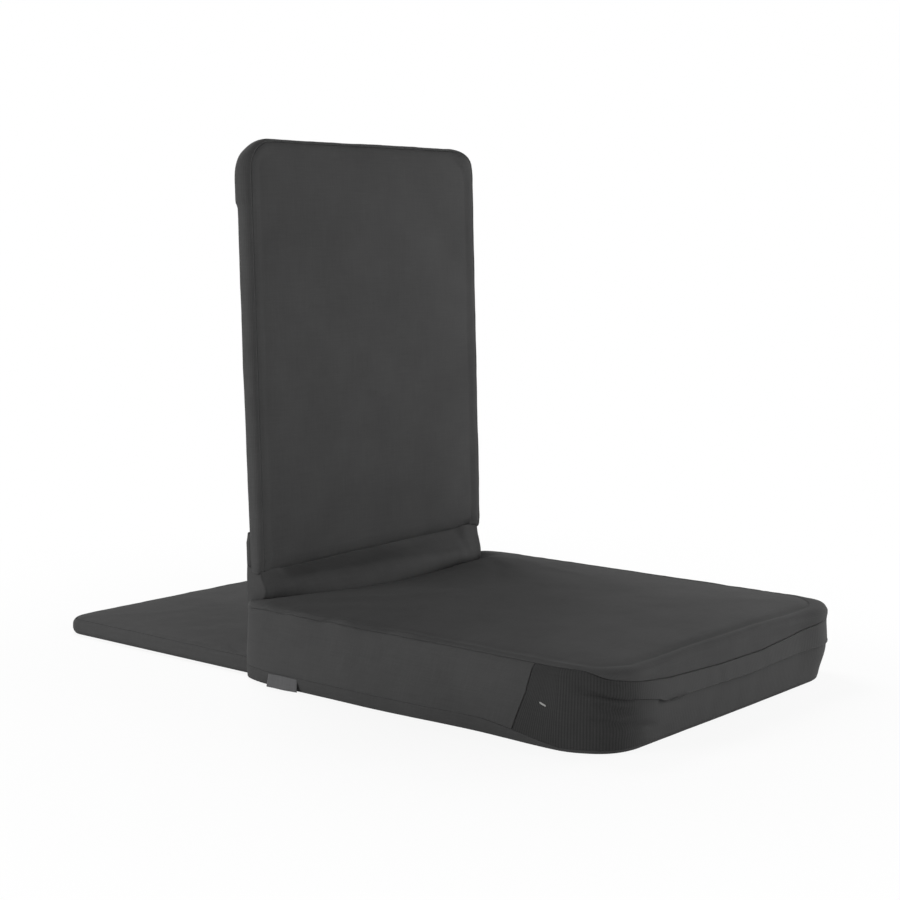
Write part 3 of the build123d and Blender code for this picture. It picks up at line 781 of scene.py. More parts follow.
def seat_profile(h):
    """Height and inset of the seat's surface at a distance h up its side and over the edge."""
    tuck = 0.8 * np.clip(1.0 - h / 6.0, 0.0, 1.0) ** 2
    angle = np.clip((h - SIDE_HIGH) / EDGE_ROUND, 0.0, math.radians(80))
    z = np.minimum(h, SIDE_HIGH) + EDGE_ROUND * np.sin(angle)
    beyond = np.maximum(h - TOP_EDGE_H, 0.0)
    inset = tuck + EDGE_ROUND * (1.0 - np.cos(angle)) + beyond
    t = np.clip(beyond / CROWN_REACH, 0.0, 1.0)
    return z + CROWN * (1.0 - (1.0 - t) ** 2), inset


def slanted_seam_y(h):
    """The ribbed panel's rear seam leans forward on its way down."""
    return np.interp(h, [3.0, 10.0, 37.0, 72.0], [-266.0, -269.0, -283.0, -290.0])


def seat_side_t(h, inset):
    """Where a side's columns lie at a height: one on the slanted seam, evenly spread further in."""
    y0 = SEAT_FRONT + SEAT_FRONT_R
    length = SEAT_REAR - SEAT_REAR_R - y0
    seam = (slanted_seam_y(h) - y0) / length
    rear_steps = SEAT_SIDE - SEAM_STEPS
    front = np.concatenate([[0.0], eased(0.0, seam, SEAM_STEPS)])
    rear = seam + (1.0 - seam) * (np.arange(1, rear_steps) / rear_steps) ** 1.25
    even = np.arange(SEAT_SIDE) / SEAT_SIDE
    inner = smooth(10.0, 70.0, inset)
    return np.concatenate([front, rear]) * (1.0 - inner) + even * inner


def seat_key_heights(x, y):
    """Heights of the band seam, the lap's free edge and the top seam at an outline point."""
    band = np.interp(y, [-319.0, -269.0, -235.0], [3.0, 10.0, 13.5])
    lap_edge = np.interp(x, [-200.0, -190.0, -172.0, -159.0, -140.0, -120.0, -100.0, 25.0, 163.0,
                             200.0],
                         [50.0, 51.5, 48.0, 46.0, 42.0, 38.5, 36.0, 33.5, 37.0, 40.0])
    front_seam = np.interp(x, [-175.0, -152.0, -108.0, -24.0, 50.0, 112.0, 152.0, 175.0],
                           [63.5, 59.0, 54.0, 50.5, 50.0, 54.0, 59.0, 62.5])
    round_corner = smooth(SEAT_FRONT + 3.0, SEAT_FRONT + 34.0, y)
    side_seam = TOP_SEAM_H + 0.5 * noise.noise(Vector((x / 31.0, y / 31.0, 4.0)))
    return band, lap_edge, front_seam * (1.0 - round_corner) + side_seam * round_corner


def seat_grid():
    """Every point of the seat's outside: columns round it, rows from the floor inwards."""
    size = (SEAT_HALF, SEAT_FRONT, SEAT_REAR, SEAT_FRONT_R, SEAT_REAR_R, SEAT_COUNTS)
    base = outline(*size, seat_side_t(10.0, 0.0))
    heights = []
    for x, y in base:
        keys = [0.0, *seat_key_heights(x, y), TOP_EDGE_H]
        rows = [np.zeros(1)]
        for low, high, steps in zip(keys, keys[1:], SEAT_ROWS):
            rows.append(eased(low, high, steps))
        heights.append(np.concatenate(rows))
    heights = np.array(heights)
    deepest = SEAT_HALF - 4.0 - EDGE_ROUND
    spread = (np.arange(1, TOP_RINGS + 1) / TOP_RINGS) ** 1.2
    top = np.tile(TOP_EDGE_H + deepest * spread, (len(base), 1))
    heights = np.concatenate([heights, top], axis=1)
    z, inset = seat_profile(heights)
    points = np.zeros(heights.shape + (3,))
    for row in range(heights.shape[1]):
        level = float(np.mean(inset[:, row]))
        at_seam = float(min(heights[FAR_SIDE + SEAM_STEPS, row], 76.0))
        ring = drawn_in(*size, level, seat_side_t(at_seam, level))
        points[:, row, :2] = ring - outward_of(ring) * (inset[:, row] - level)[:, None]
        points[:, row, 2] = z[:, row]
    return points, heights


def seat_uvs(points, heights):
    """Cloth coordinates: round and up on the sides, flat on the top."""
    walk = ring_walk(points[:, 0, :2], REAR_MIDDLE)
    sides = np.stack([np.repeat(walk[:, None], heights.shape[1], 1), heights], 2)
    edge = points[:, EDGE_ROW, :2]
    over = (TOP_EDGE_H - heights)[..., None] * outward_of(edge)[:, None, :]
    flat = np.where((heights < TOP_EDGE_H)[..., None], edge[:, None, :] + over, points[..., :2])
    return sides, flat


TOP_FOLDS = [
    # path of the fold, its width, and how far it stands out
    ([(-186, 60, 75), (-150, 20, 78), (-90, -40, 79), (-20, -70, 80)], 10.0, 0.8),
    ([(-190, 20, 74), (-150, -30, 78), (-110, -90, 79)], 11.0, 0.7),
    ([(150, 40, 78), (100, -20, 79), (40, -60, 80)], 11.0, -0.8),
    ([(170, 20, 77), (140, -60, 79), (120, -140, 80)], 9.0, 0.6),
    # short puckers along the near seam, by the back's foot
    ([(-198, 46, 73), (-191, 34, 76.5)], 2.4, 1.8),
    ([(-199, 12, 72), (-191, -18, 76.5)], 2.4, 2.0),
    ([(-199, -40, 72), (-190, -70, 76.5)], 2.6, 1.9),
    ([(-199, 28, 71), (-192, 4, 76)], 2.4, -1.6),
    ([(-199, -20, 71), (-192, -46, 76)], 2.6, -1.5),
    ([(-199, -78, 72), (-191, -110, 76)], 3.0, -1.0),
    ([(-196, -120, 73), (-190, -160, 77)], 3.0, 1.0),
]

SIDE_FOLDS = [
    # path in mm round the side from the front's middle, the near side negative, and mm up it
    ([(-485, 60), (-483, 20)], 4.0, -0.7),
    ([(-590, 62), (-565, 45), (-515, 40)], 9.0, 0.8),
    ([(-395, 20), (-345, 30), (-285, 30)], 8.0, 0.6),
    # the ribbed panel, round the near front corner
    ([(-212, 55), (-200, 53), (-172, 47), (-155, 45)], 1.8, -3.4),
    ([(-205, 61), (-185, 57), (-165, 55)], 4.5, 1.8),
    ([(-196, 45), (-186, 41), (-168, 35), (-148, 29)], 2.2, -2.6),
    ([(-205, 37), (-185, 34), (-165, 29)], 3.6, 2.0),
    ([(-197, 30), (-177, 27), (-150, 21.5), (-126, 16)], 1.7, -4.2),
    ([(-190, 20), (-165, 17), (-140, 16)], 4.0, 1.6),
    ([(-182, 39), (-158, 35)], 3.5, -1.6),
    # where the lap's edge presses on the panel under it
    ([(-126, 36), (-105, 36), (-84, 35)], 2.4, -4.4),
    ([(-140, 10), (-100, 7)], 6.0, -1.2),
    ([(-120, 28), (-40, 22), (60, 24)], 8.0, 0.6),
]


def seat_fullness(points):
    """How far the filling pushes the sides out, beyond the plain outline."""
    x, y, z = points[..., 0], points[..., 1], points[..., 2]
    low = smooth(62.0, 4.0, z)
    near = smooth(-150.0, -185.0, x)
    far = smooth(150.0, 185.0, x)
    front = smooth(-335.0, -360.0, y)
    label_bulge = smooth(-235.0, -100.0, y) * smooth(75.0, 20.0, y)
    out = near * low * (1.6 + 5.6 * label_bulge + 2.2 * bump(y, -300.0, 40.0))
    # both rear corners are rounded off more than the plain outline
    out -= 9.0 * smooth(38.0, 92.0, y) ** 1.5 * smooth(120.0, 180.0, np.abs(x))
    out += far * (2.0 + 1.2 * bump(y, -210.0, 70.0))
    out += front * (1.4 + 1.2 * low * bump(x, 20.0, 120.0))
    # the far front corner is fuller in the middle of its height than at the floor
    corner = smooth(120.0, 165.0, x) * smooth(-290.0, -335.0, y)
    out += corner * (6.5 * smooth(0.0, 34.0, z) * smooth(80.0, 60.0, z) - 0.5)
    return out


def strip_trough(x, y):
    """How far the seat's top is drawn down along the foot of the hinge strip."""
    depth = np.interp(x, [-178, -170, -160, -120, -40, 40, 100, 160, 172, 180],
                      [0.0, 4.5, 1.4, 1.2, 3.0, 5.6, 8.0, 10.0, 10.0, 0.0])
    reach = np.interp(x, [-170, -140, 0, 170], [6.0, 11.0, 15.0, 17.0])
    ahead = np.maximum(strip_foot_y(x) - y, 0.0)
    return depth * np.exp(-(ahead / reach) ** 1.6)


def shape_seat(points, heights, swelling):
    """Fullness, soft unevenness, folds, and the pull of the seams."""
    normal = grid_normals(points, True)
    x, y = points[..., 0], points[..., 1]
    lift = 0.4 * ripples(points, 75.0, 1) + 0.15 * ripples(points, 24.0, 2)
    sideways = np.hypot(normal[..., 0], normal[..., 1])
    lift += seat_fullness(points) * sideways
    lift += 0.8 * np.sin(np.pi * np.clip(heights / TOP_SEAM_H, 0, 1)) ** 1.5
    lift += swelling(x, y) * np.clip(normal[..., 2], 0.0, 1.0)
    lift = add_folds(lift, points, TOP_FOLDS)
    ring = ring_walk(points[:, 0, :2], 0)
    walk = np.repeat(ring[:, None], heights.shape[1], 1)
    from_middle = np.where(walk > ring[-1] / 2.0, walk - ring[-1], walk) + points[0, 0, 0]
    side_folds = [([(s, h, 0.0) for s, h in path], width, out) for path, width, out in SIDE_FOLDS]
    lift = add_folds(lift, flat_points(from_middle, heights), side_folds)
    # puckers: the seam thread is tight, so the cloth beside it gathers
    gather = ripples(flat_points(walk, 0.6 * heights), 17.0, 3, 2)
    seam_h = heights[:, SEAM_ROW][:, None]
    front = smooth(-325.0, -350.0, y)
    tight = 0.7 + 0.5 * smooth(-60.0, 10.0, y) * (x < 0) - 0.4 * front
    lift += tight * (0.2 + 0.5 * gather) * bump(heights, seam_h + 5.0, 4.0)
    lift += tight * (0.2 - 0.4 * gather) * bump(heights, seam_h - 6.0, 4.5)
    # along the front the top rolls over the foam's edge, with a valley behind the roll
    near = smooth(-150.0, -180.0, x) * (1.0 - front)
    edge_h = 74.0 - 3.5 * smooth(50.0, 140.0, np.abs(x))
    lift += 0.8 * front * bump(heights, (seam_h + edge_h) / 2.0, 6.0)
    lift += 2.8 * front * bump(heights, edge_h - 2.5, 4.6)
    valley = front * (1.0 - 0.6 * smooth(145.0, 185.0, np.abs(x)))
    lift -= 2.9 * valley * bump(heights, edge_h + 7.5, 5.6)
    lift -= 0.7 * near * bump(heights, seam_h + 12.0, 4.0)
    shaped = points + normal * lift[..., None]
    shaped[..., 2] -= strip_trough(x, y) * smooth(0.6, 0.9, normal[..., 2])
    shaped[..., 2] = np.where(heights < 6.0, points[..., 2], shaped[..., 2])
    return shaped


def seam_depths(points, heights):
    """How deep each point of a seam is drawn in: lightly round the sides, more at the front."""
    row = np.arange(heights.shape[1])[None, :]
    front = smooth(-300.0, -350.0, points[..., 1])
    far = smooth(150.0, 180.0, points[..., 0])
    corner = bump(points[..., 0], -140.0, 45.0) * front
    depth = np.where(row == SEAM_ROW, 0.45 + 0.45 * front - 0.3 * far + 0.7 * corner, 0.8)
    patch = smooth(-220.0, -250.0, points[..., 1]) * smooth(-330.0, -300.0, points[..., 1])
    return np.where(row == BAND_ROW, 0.2 + 0.5 * patch * (points[..., 0] < 0), depth)


def seat_kinds(shape):
    """Which piece of cloth each face belongs to: 0 band, 1 ribbed panel, 2 boxing, 3 top."""
    column = np.arange(shape[0])[:, None]
    row = np.arange(shape[1] - 1)[None, :]
    ribbed = (column < FAR_SIDE + SEAM_STEPS) | (column >= NEAR_SIDE + SEAT_SIDE - SEAM_STEPS)
    return np.select([row < BAND_ROW, (row < SEAM_ROW) & ribbed, row < SEAM_ROW], [0, 1, 2], 3)


def seat_openings(points):
    """Faces left out: the zip's slot behind the lap, and where the hinge brackets come through."""
    centre = (points[:, :-1] + points[:, 1:]) / 2.0
    x, y, z = centre[..., 0], centre[..., 1], centre[..., 2]
    slot = (y < SEAT_FRONT + 5.0) & (x > -112.0) & (x < 148.0) & (z > 41.0) & (z < 47.5)
    pocket = (y > 68.0) & (np.abs(x) > 149.0) & (np.abs(x) < 172.0) & (z > 18.0)
    return slot | pocket


def make_seat():
    """The cushion's top, boxing, ribbed front panel and base band, cut from one swept surface."""
    plain, heights = seat_grid()
    side_uvs, top_uvs = seat_uvs(plain, heights)
    seams = [FAR_SIDE + SEAM_STEPS, NEAR_SIDE + SEAT_SIDE - SEAM_STEPS]
    swelling = pillow((-SEAT_HALF + TOP_MARGIN, SEAT_FRONT + TOP_MARGIN),
                      (SEAT_HALF - TOP_MARGIN, SEAT_REAR - TOP_MARGIN), 2.4, 5)
    points = shape_seat(plain, heights, swelling)
    side = plain[:, :SEAM_ROW + 1]
    points[:, :SEAM_ROW + 1] += filled_sides(side, [0, BAND_ROW, SEAM_ROW], seams, 1.6)
    points[..., 2] = np.maximum(points[..., 2], 0.3)
    shape = heights.shape
    kind = seat_kinds(shape)
    seam = seam_points(kind)
    seam[:, 0] = False
    points = pulled_in(points, seam * seam_depths(points, heights))
    kind = np.where(seat_openings(points), -1, kind)
    cap = ladder_faces(shape, shape[1] - 1, SEAT_END // 2, True)
    pieces = []
    for number, name in enumerate(("base_band", "ribbed_front_panel", "seat_boxing",
                                   "seat_top_panel")):
        is_top = name == "seat_top_panel"
        faces = grid_faces(shape, kind == number, True) + (cap if is_top else [])
        pieces.append(cut_piece(name, points, top_uvs if is_top else side_uvs, faces))
        thicken(pieces[-1])
    band, ribbed, boxing, top = pieces
    finish_piece(band, "base_canvas", "base", "seat_base_band")
    finish_piece(ribbed, "ribbed_canvas", "base", "front_zip_panel")
    finish_piece(boxing, "canvas", "base", "seat_cover")
    finish_piece(top, "canvas", "base", "seat_cover", "seat_foam")
    return points, side_uvs


LAP_TURN = 28              # columns that the lap runs on round each front corner


def make_lap(points, uvs):
    """The folded strip from the top seam down over the zip, its lower edge free."""
    columns = np.arange(-LAP_TURN, SEAT_END + LAP_TURN + 1) % points.shape[0]
    rows = np.arange(LAP_ROW, SEAM_ROW + 1)
    patch = points[np.ix_(columns, rows)]
    normal = grid_normals(points, True)[np.ix_(columns, rows)]
    reach = np.sin(np.pi * np.arange(len(columns)) / (len(columns) - 1)) ** 0.5
    drop = 1.0 - np.arange(len(rows)) / (len(rows) - 1)
    wave = ripples(patch, 28.0, 7, 2)
    # it stands off most near its near end
    loose = 2.5 + 0.5 * wave + 2.0 * bump(patch[..., 0], -104.0, 16.0)
    lift = reach[:, None] * (1.1 + loose * drop[None, :] ** 1.3) - 0.6
    lap = patch + normal * lift[..., None]
    lap[:, -1] = patch[:, -1] + normal[:, -1] * 0.2
    obj = cut_sheet("zip_lap_strip", lap, uvs[np.ix_(columns, rows)])
    area = finish_sheet(obj, 1.0, "ribbed_canvas", "base", "zip_lap")


# ---------------------------------------------------------------- back
BACK_COUNTS = (70, 4, 130, 14)   # steps along an end, a low corner, a side, a top corner
BACK_END = BACK_COUNTS[0]
BACK_EDGE_ROW = 46         # a row on the rounded front edge, where puckers are measured
FRONT_SEAM = 2.9           # depths of the two seams along the edge strip
REAR_SEAM = 17.4


def back_profile():
    """Depth behind the front face and inset, from the middle of the front to that of the rear."""
    edge = 11.0
    front = np.linspace(0.0, 1.0, 42) ** 1.25
    inset = edge + (BACK_HALF - 4.0 - edge) * front[::-1]
    rows = [(-1.0 + 1.4 * math.exp(-(i - edge) / 18.0), i) for i in inset]
    for angle in np.radians([10, 20, 30, 40, 48, 54, 62, 71, 80, 90]):
        rows.append((8.0 - 7.6 * math.cos(angle), edge * (1.0 - math.sin(angle))))
    rear_edge = 10.0
    for depth in (9.5, 11.2, 12.9, 14.5, 15.8, 16.7, REAR_SEAM, 18.1, 18.8, 19.5, 20.1, 20.6):
        share = (depth - 8.0) / (BACK_THICK - 8.0)
        rows.append((depth, rear_edge * (1.0 - math.sqrt(1.0 - share ** 2))))
    rear = np.linspace(0.0, 1.0, 30)[1:] ** 1.25
    rows += [(BACK_THICK, rear_edge + (BACK_HALF - 4.0 - rear_edge) * t) for t in rear]
    return rows


def back_grid():
    """Upright points of the back's outside: columns round it, rows from front to rear."""
    profile = back_profile()
    columns = 2 * sum(BACK_COUNTS)
    points = np.zeros((columns, len(profile), 3))
    for row, (depth, inset) in enumerate(profile):
        ring = drawn_in(BACK_HALF, BACK_BOTTOM, BACK_TOP, BACK_LOW_R, BACK_TOP_R, BACK_COUNTS,
                        inset)
        # the lower edge is tighter than the others
        low_drop = (inset - min(inset, BACK_LOW_R)) * smooth(BACK_BOTTOM + 60.0, BACK_BOTTOM,
                                                            ring[:, 1])
        # mirrored, so that the grid's normals point out
        points[:, row, 0] = -ring[:, 0]
        points[:, row, 1] = BACK_FACE + depth
        points[:, row, 2] = ring[:, 1] - (low_drop if inset < 12.0 else 0.0)
    return points, profile


BACK_FOLDS = [
    # drawn on the upright back, before it leans
    ([(-60, 68, 478), (-73, 68, 462), (-73, 68, 430), (-60, 68, 340), (-58, 68, 130)], 3.5, 0.35),
    ([(-120, 68, 500), (-128, 68, 420), (-124, 68, 300)], 14.0, 0.6),
    ([(90, 68, 500), (96, 68, 380), (84, 68, 240)], 16.0, 0.5),
    ([(-150, 68, 210), (-60, 68, 180), (60, 68, 176), (150, 68, 196)], 16.0, 0.7),
    ([(40, 68, 515), (52, 68, 488)], 5.0, -0.5),
    ([(20, 68, 516), (12, 68, 496)], 4.0, 0.4),
    ([(-118, 68, 512), (-96, 68, 498)], 5.0, 0.5),
    ([(110, 68, 512), (140, 68, 486)], 8.0, 0.6),
]


def fold_line_drop(x):
    """How far the fold line is off level: it hangs lower on the near side."""
    return np.interp(x, [-171, -115, -35, 65, 135, 171], [-5.0, -3.0, -1.0, 1.0, 2.0, 1.5])


def shape_back(points, profile, swelling):
    """Fullness, folds and seam puckers of the upright back."""
    normal = grid_normals(points, True)
    depth, inset = np.array(profile).T[:, None, :]
    x, z = points[..., 0], points[..., 2]
    lift = 0.45 * ripples(points, 80.0, 11) + 0.15 * ripples(points, 24.0, 12)
    lift = add_folds(lift, points, BACK_FOLDS)
    # the edge strip is fuller just under the top corners, and tucks in below
    on_strip = bump(depth, 9.0, 8.0) * (inset < 12.0)
    full_near = smooth(463.0, 470.0, z) * smooth(518.0, 488.0, z)
    full_far = smooth(430.0, 460.0, z) * smooth(524.0, 500.0, z)
    near = 4.4 + 2.4 * full_near + 0.8 * smooth(190.0, 300.0, z)
    far = 6.9 + 0.4 * full_far
    sideways = np.abs(normal[..., 0]) * (inset < 12.0)
    lift += sideways * np.where(x < 0, near, far) * smooth(528.0, 512.0, z)
    # the far top corner is squarer than the near one
    lift += 4.5 * bump(np.hypot(x - 160.0, z - 522.0), 0.0, 13.0) * (inset < 14.0)
    lift += 1.4 * bump(np.hypot(x + 158.0, z - 528.0), 0.0, 10.0) * (inset < 14.0)
    lift += swelling(x, z) * np.abs(normal[..., 1])
    lift += 0.4 * on_strip * np.sin(z / 23.0) * smooth(440.0, 400.0, z) * smooth(120.0, 150.0, z)
    # the cloth dips where the top seam pulls on it
    ring = ring_walk(points[:, BACK_EDGE_ROW][:, [0, 2]], 0)
    walk = np.repeat(ring[:, None], len(profile), 1)
    gather = ripples(flat_points(walk, 4.0 * depth), 21.0, 13, 2)
    front = (depth < FRONT_SEAM) * np.exp(-inset / 14.0)
    lift -= (0.5 + 0.5 * gather) * front
    lift += 0.35 * gather * bump(depth, 6.5, 3.0) * (inset < 3.0)
    shaped = points + normal * lift[..., None]
    # the cloth rolls in towards the fold line
    roll = 3.0 - 1.5 * smooth(160.0, 172.0, np.abs(x))
    shaped[..., 1] += roll * smooth(117.0, 105.0, z) * smooth(9.0, 3.0, depth)
    shaped[..., 2] += fold_line_drop(x) * smooth(135.0, 107.0, z)
    return shaped


def make_back():
    """The back's front, edge strip and rear, cut from one swept surface."""
    plain, profile = back_grid()
    depth, inset = np.array(profile).T
    swelling = pillow((-BACK_HALF + 2.0, BACK_BOTTOM + 2.0), (BACK_HALF - 2.0, BACK_TOP - 2.0),
                      1.3, 15)
    points = shape_back(plain, profile, swelling)
    drop = np.concatenate([[0.0], np.cumsum(np.hypot(np.diff(depth), np.diff(inset)))])
    middle = (depth[:-1] + depth[1:]) / 2.0
    kind = np.tile(np.select([middle < FRONT_SEAM, middle < REAR_SEAM], [0, 1], 2),
                   (points.shape[0], 1))
    seam = seam_points(kind)
    edge_row = int(np.argmax(depth >= FRONT_SEAM))
    high = smooth(BACK_TOP - 30.0, BACK_TOP - 8.0, points[..., 2])
    far = smooth(-150.0, 20.0, points[..., 0])
    drawn = np.where(np.arange(len(profile))[None, :] > edge_row + 2, 0.7,
                     0.15 + high * (0.25 + 0.5 * far))
    points = pulled_in(points, drawn * seam)
    walk = ring_walk(plain[:, edge_row][:, [0, 2]], BACK_END // 2)
    strip_uvs = cloth_grid(walk, drop)
    flat_uvs = plain[..., [0, 2]]
    shape = points.shape[:2]
    names = (("back_front_panel", flat_uvs, ladder_faces(shape, 0, BACK_END // 2, False)),
             ("back_edge_strip", strip_uvs, []),
             ("back_rear_panel", flat_uvs,
              ladder_faces(shape, shape[1] - 1, BACK_END // 2, True)))
    pieces = []
    stood = lean_points(points)
    for number, (name, uvs, cap) in enumerate(names):
        faces = grid_faces(shape, kind == number, True) + cap
        obj = cut_piece(name, stood, uvs, faces)
        thicken(obj, 1.0)
        pieces.append(obj)
    front, strip, rear = pieces
    finish_piece(front, "canvas", None, "back_front_cover", "back_front_pad")
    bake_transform(front)
    finish_piece(strip, "canvas", "back", "back_side_gusset")
    finish_piece(rear, "canvas", "back", "back_rear_cover", "back_rear_pad")


# ---------------------------------------------------------------- floor panel
PANEL_COUNTS = (76, 12, 96, 12)   # steps along an end, a low corner, a side, a high corner
PANEL_TUCK = 62.0          # the panel's front edge, hidden inside the seat
PANEL_SEAM_H = 17.5        # the seam between edge and top, measured up the cloth
PANEL_EDGE_ROWS = 12
PANEL_TOP_ROWS = 48
PANEL_TOP_REACH = 146.0    # how far in the innermost row lies, along the cloth


def panel_profile(h):
    """Height and inset of the panel's surface at a distance h up its edge and over it."""
    tuck = 3.0 * np.clip(1.0 - h / 6.0, 0.0, 1.0) ** 2
    straight = 9.5
    radius = 7.0
    angle = np.clip((h - straight) / radius, 0.0, math.radians(72))
    z = np.minimum(h, straight) + radius * np.sin(angle)
    beyond = np.maximum(h - straight - radius * math.radians(72), 0.0)
    inset = tuck + radius * (1.0 - np.cos(angle)) + beyond
    return z + 1.9 * (1.0 - np.exp(-beyond / 14.0)), inset


PANEL_FOLDS = [
    ([(-186, 110, 15), (-180, 150, 16), (-182, 205, 16)], 2.2, -1.0),
    ([(-181, 104, 16), (-174, 140, 17), (-176, 176, 17)], 1.8, 0.8),
    ([(-176, 100, 17), (-166, 130, 18)], 2.2, -0.8),
    ([(-183, 150, 15), (-177, 190, 16), (-178, 240, 16)], 2.4, 0.6),
    ([(-150, 330, 18), (-120, 300, 18), (-60, 280, 18)], 10.0, 0.6),
    ([(-170, 260, 18), (-120, 210, 18), (-60, 180, 18)], 12.0, -0.5),
    ([(170, 240, 18), (90, 200, 18)], 12.0, 0.5),
]


def make_floor_panel():
    """The flat padded panel behind the back: edge boxing and top."""
    spread = (np.arange(1, PANEL_TOP_ROWS + 1) / PANEL_TOP_ROWS) ** 1.25
    rows = np.concatenate([[0.0], eased(0.0, PANEL_SEAM_H, PANEL_EDGE_ROWS),
                           PANEL_SEAM_H + PANEL_TOP_REACH * spread])
    size = (PANEL_HALF, PANEL_TUCK, PANEL_REAR, 4.0, PANEL_R, PANEL_COUNTS)
    z, inset = panel_profile(rows)
    columns = 2 * sum(PANEL_COUNTS)
    points = np.zeros((columns, len(rows), 3))
    for row in range(len(rows)):
        points[:, row, :2] = drawn_in(*size, inset[row])
        points[:, row, 2] = z[row]
    plain = points
    normal = grid_normals(points, True)
    walk = ring_walk(plain[:, 0, :2], PANEL_COUNTS[0] // 2)
    lift = 0.45 * ripples(points, 60.0, 21) + 0.2 * ripples(points, 20.0, 22)
    lift = add_folds(lift, points, PANEL_FOLDS)
    edge_uvs = cloth_grid(walk, rows)
    gather = ripples(flat_points(edge_uvs[..., 0], edge_uvs[..., 1]), 16.0, 23, 2)
    lift += (0.2 + 0.6 * gather) * bump(rows[None, :], PANEL_SEAM_H + 5.0, 4.0)
    swelling = pillow((-PANEL_HALF + 4.0, PANEL_TUCK), (PANEL_HALF - 4.0, PANEL_REAR - 4.0),
                      1.3, 25)
    lift += swelling(points[..., 0], points[..., 1]) * np.clip(normal[..., 2], 0.0, 1.0)
    points = points + normal * (lift * smooth(0.0, 6.0, rows)[None, :])[..., None]
    points[..., 2] = np.maximum(points[..., 2], 0.2)
    kind = np.tile(np.where(np.arange(len(rows) - 1) < PANEL_EDGE_ROWS, 0, 1), (columns, 1))
    points = pulled_in(points, 0.9 * seam_points(kind))
    shape = points.shape[:2]
    start = PANEL_COUNTS[0] + PANEL_COUNTS[1] + PANEL_COUNTS[2] // 2
    cap = ladder_faces(shape, shape[1] - 1, start, True)
    edge = cut_piece("floor_panel_edge", points, edge_uvs, grid_faces(shape, kind == 0, True))
    top = cut_piece("floor_panel_top", points, plain[..., :2],
                    grid_faces(shape, kind == 1, True) + cap)
    for obj in (edge, top):
        thicken(obj)
    finish_piece(edge, "canvas", "base", "floor_panel_cover")
    finish_piece(top, "canvas", "base", "floor_panel_cover", "floor_panel_pad")


# ---------------------------------------------------------------- hinge strip and rear cover
STRIP_HALF = 172.6
STRIP_MIDDLE = 161         # columns across the front
STRIP_ENDS = 14            # columns of the small gusset at each end
STRIP_ROWS = 26
STRIP_HEAD = (73.4, 105.6)   # y and z of the fold line, at the strip's ends


def seat_top_z(x, y):
    """Height of the plain seat top at a point in plan."""
    inset = np.minimum.reduce([SEAT_HALF - np.abs(x), SEAT_REAR - y, y - SEAT_FRONT])
    h = np.linspace(SIDE_HIGH, TOP_EDGE_H + CROWN_REACH, 400)
    z, at = seat_profile(h)
    return np.interp(inset, at, z)


def strip_foot_y(x):
    """Where the strip is sewn to the seat: it bulges forward in the middle."""
    return np.interp(x, [-171, -164, -150, -132, -110, -88, -60, -20, 30, 65, 100, 135, 171],
                     [78, 72, 64, 55, 45, 38, 34, 34, 41, 49, 58, 66, 72])


def strip_grid():
    """Points of the plain strip, columns from end to end and rows from the fold line down."""
    middle = np.linspace(-STRIP_HALF, STRIP_HALF, STRIP_MIDDLE)
    end = np.full(STRIP_ENDS, STRIP_HALF)
    x = np.concatenate([-end, middle, end])
    into = np.linspace(1.0, 0.0, STRIP_ENDS, endpoint=False)
    to_rear = np.concatenate([into, 0 * middle, into[::-1]])
    foot_y = np.convolve(np.pad(strip_foot_y(x), 8, mode="edge"), np.ones(17) / 17.0, "valid")
    foot_z = seat_top_z(x, foot_y) - 2.0 - strip_trough(x, foot_y)
    between = smooth(152.0, 136.0, np.abs(x))
    head_y = STRIP_HEAD[0] + 4.0 * between
    head_z = STRIP_HEAD[1] - 1.8 * between + fold_line_drop(x)
    fall_y = head_y - foot_y
    fall_z = head_z - foot_z
    slope = np.hypot(fall_y, fall_z)
    # the strip bellies out over its own foot, except at the ends
    belly = 8.5 + 5.5 * smooth(-90.0, 20.0, x) - 10.0 * smooth(120.0, 170.0, x)
    t = np.linspace(0.0, 1.0, STRIP_ROWS)[None, :]
    low = 1.4 + 0.4 * smooth(-90.0, 30.0, x)[:, None]
    bulge = np.sin(np.pi * t ** low) * belly[:, None]
    y = head_y[:, None] - fall_y[:, None] * t - bulge * (fall_z / slope)[:, None]
    z = head_z[:, None] - fall_z[:, None] * t + bulge * (fall_y / slope)[:, None]
    # the gusset turns the corner and runs back beside the bracket
    swing = np.sin(np.pi / 2.0 * to_rear)[:, None]
    y = y + (92.0 - y) * swing
    # there it also reaches up over the back's lower edge, so that the two look like one
    z = z + 7.0 * swing * (1.0 - t) ** 4
    turn = np.sign(x) * 1.5 * np.sin(np.pi * np.clip(to_rear, 0, 1))
    return np.stack([np.repeat((x + turn)[:, None], STRIP_ROWS, 1), y, z], 2)


STRIP_FOLDS = [
    ([(-165, 66, 96), (-60, 50, 93), (20, 46, 91)], 5.0, 0.9),
    ([(-120, 52, 90), (-20, 36, 86), (60, 40, 86)], 6.0, 0.9),
    ([(60, 56, 95), (120, 60, 93), (165, 66, 92)], 5.0, -0.8),
    ([(20, 62, 100), (100, 64, 99), (160, 67, 98)], 3.5, 0.8),
]


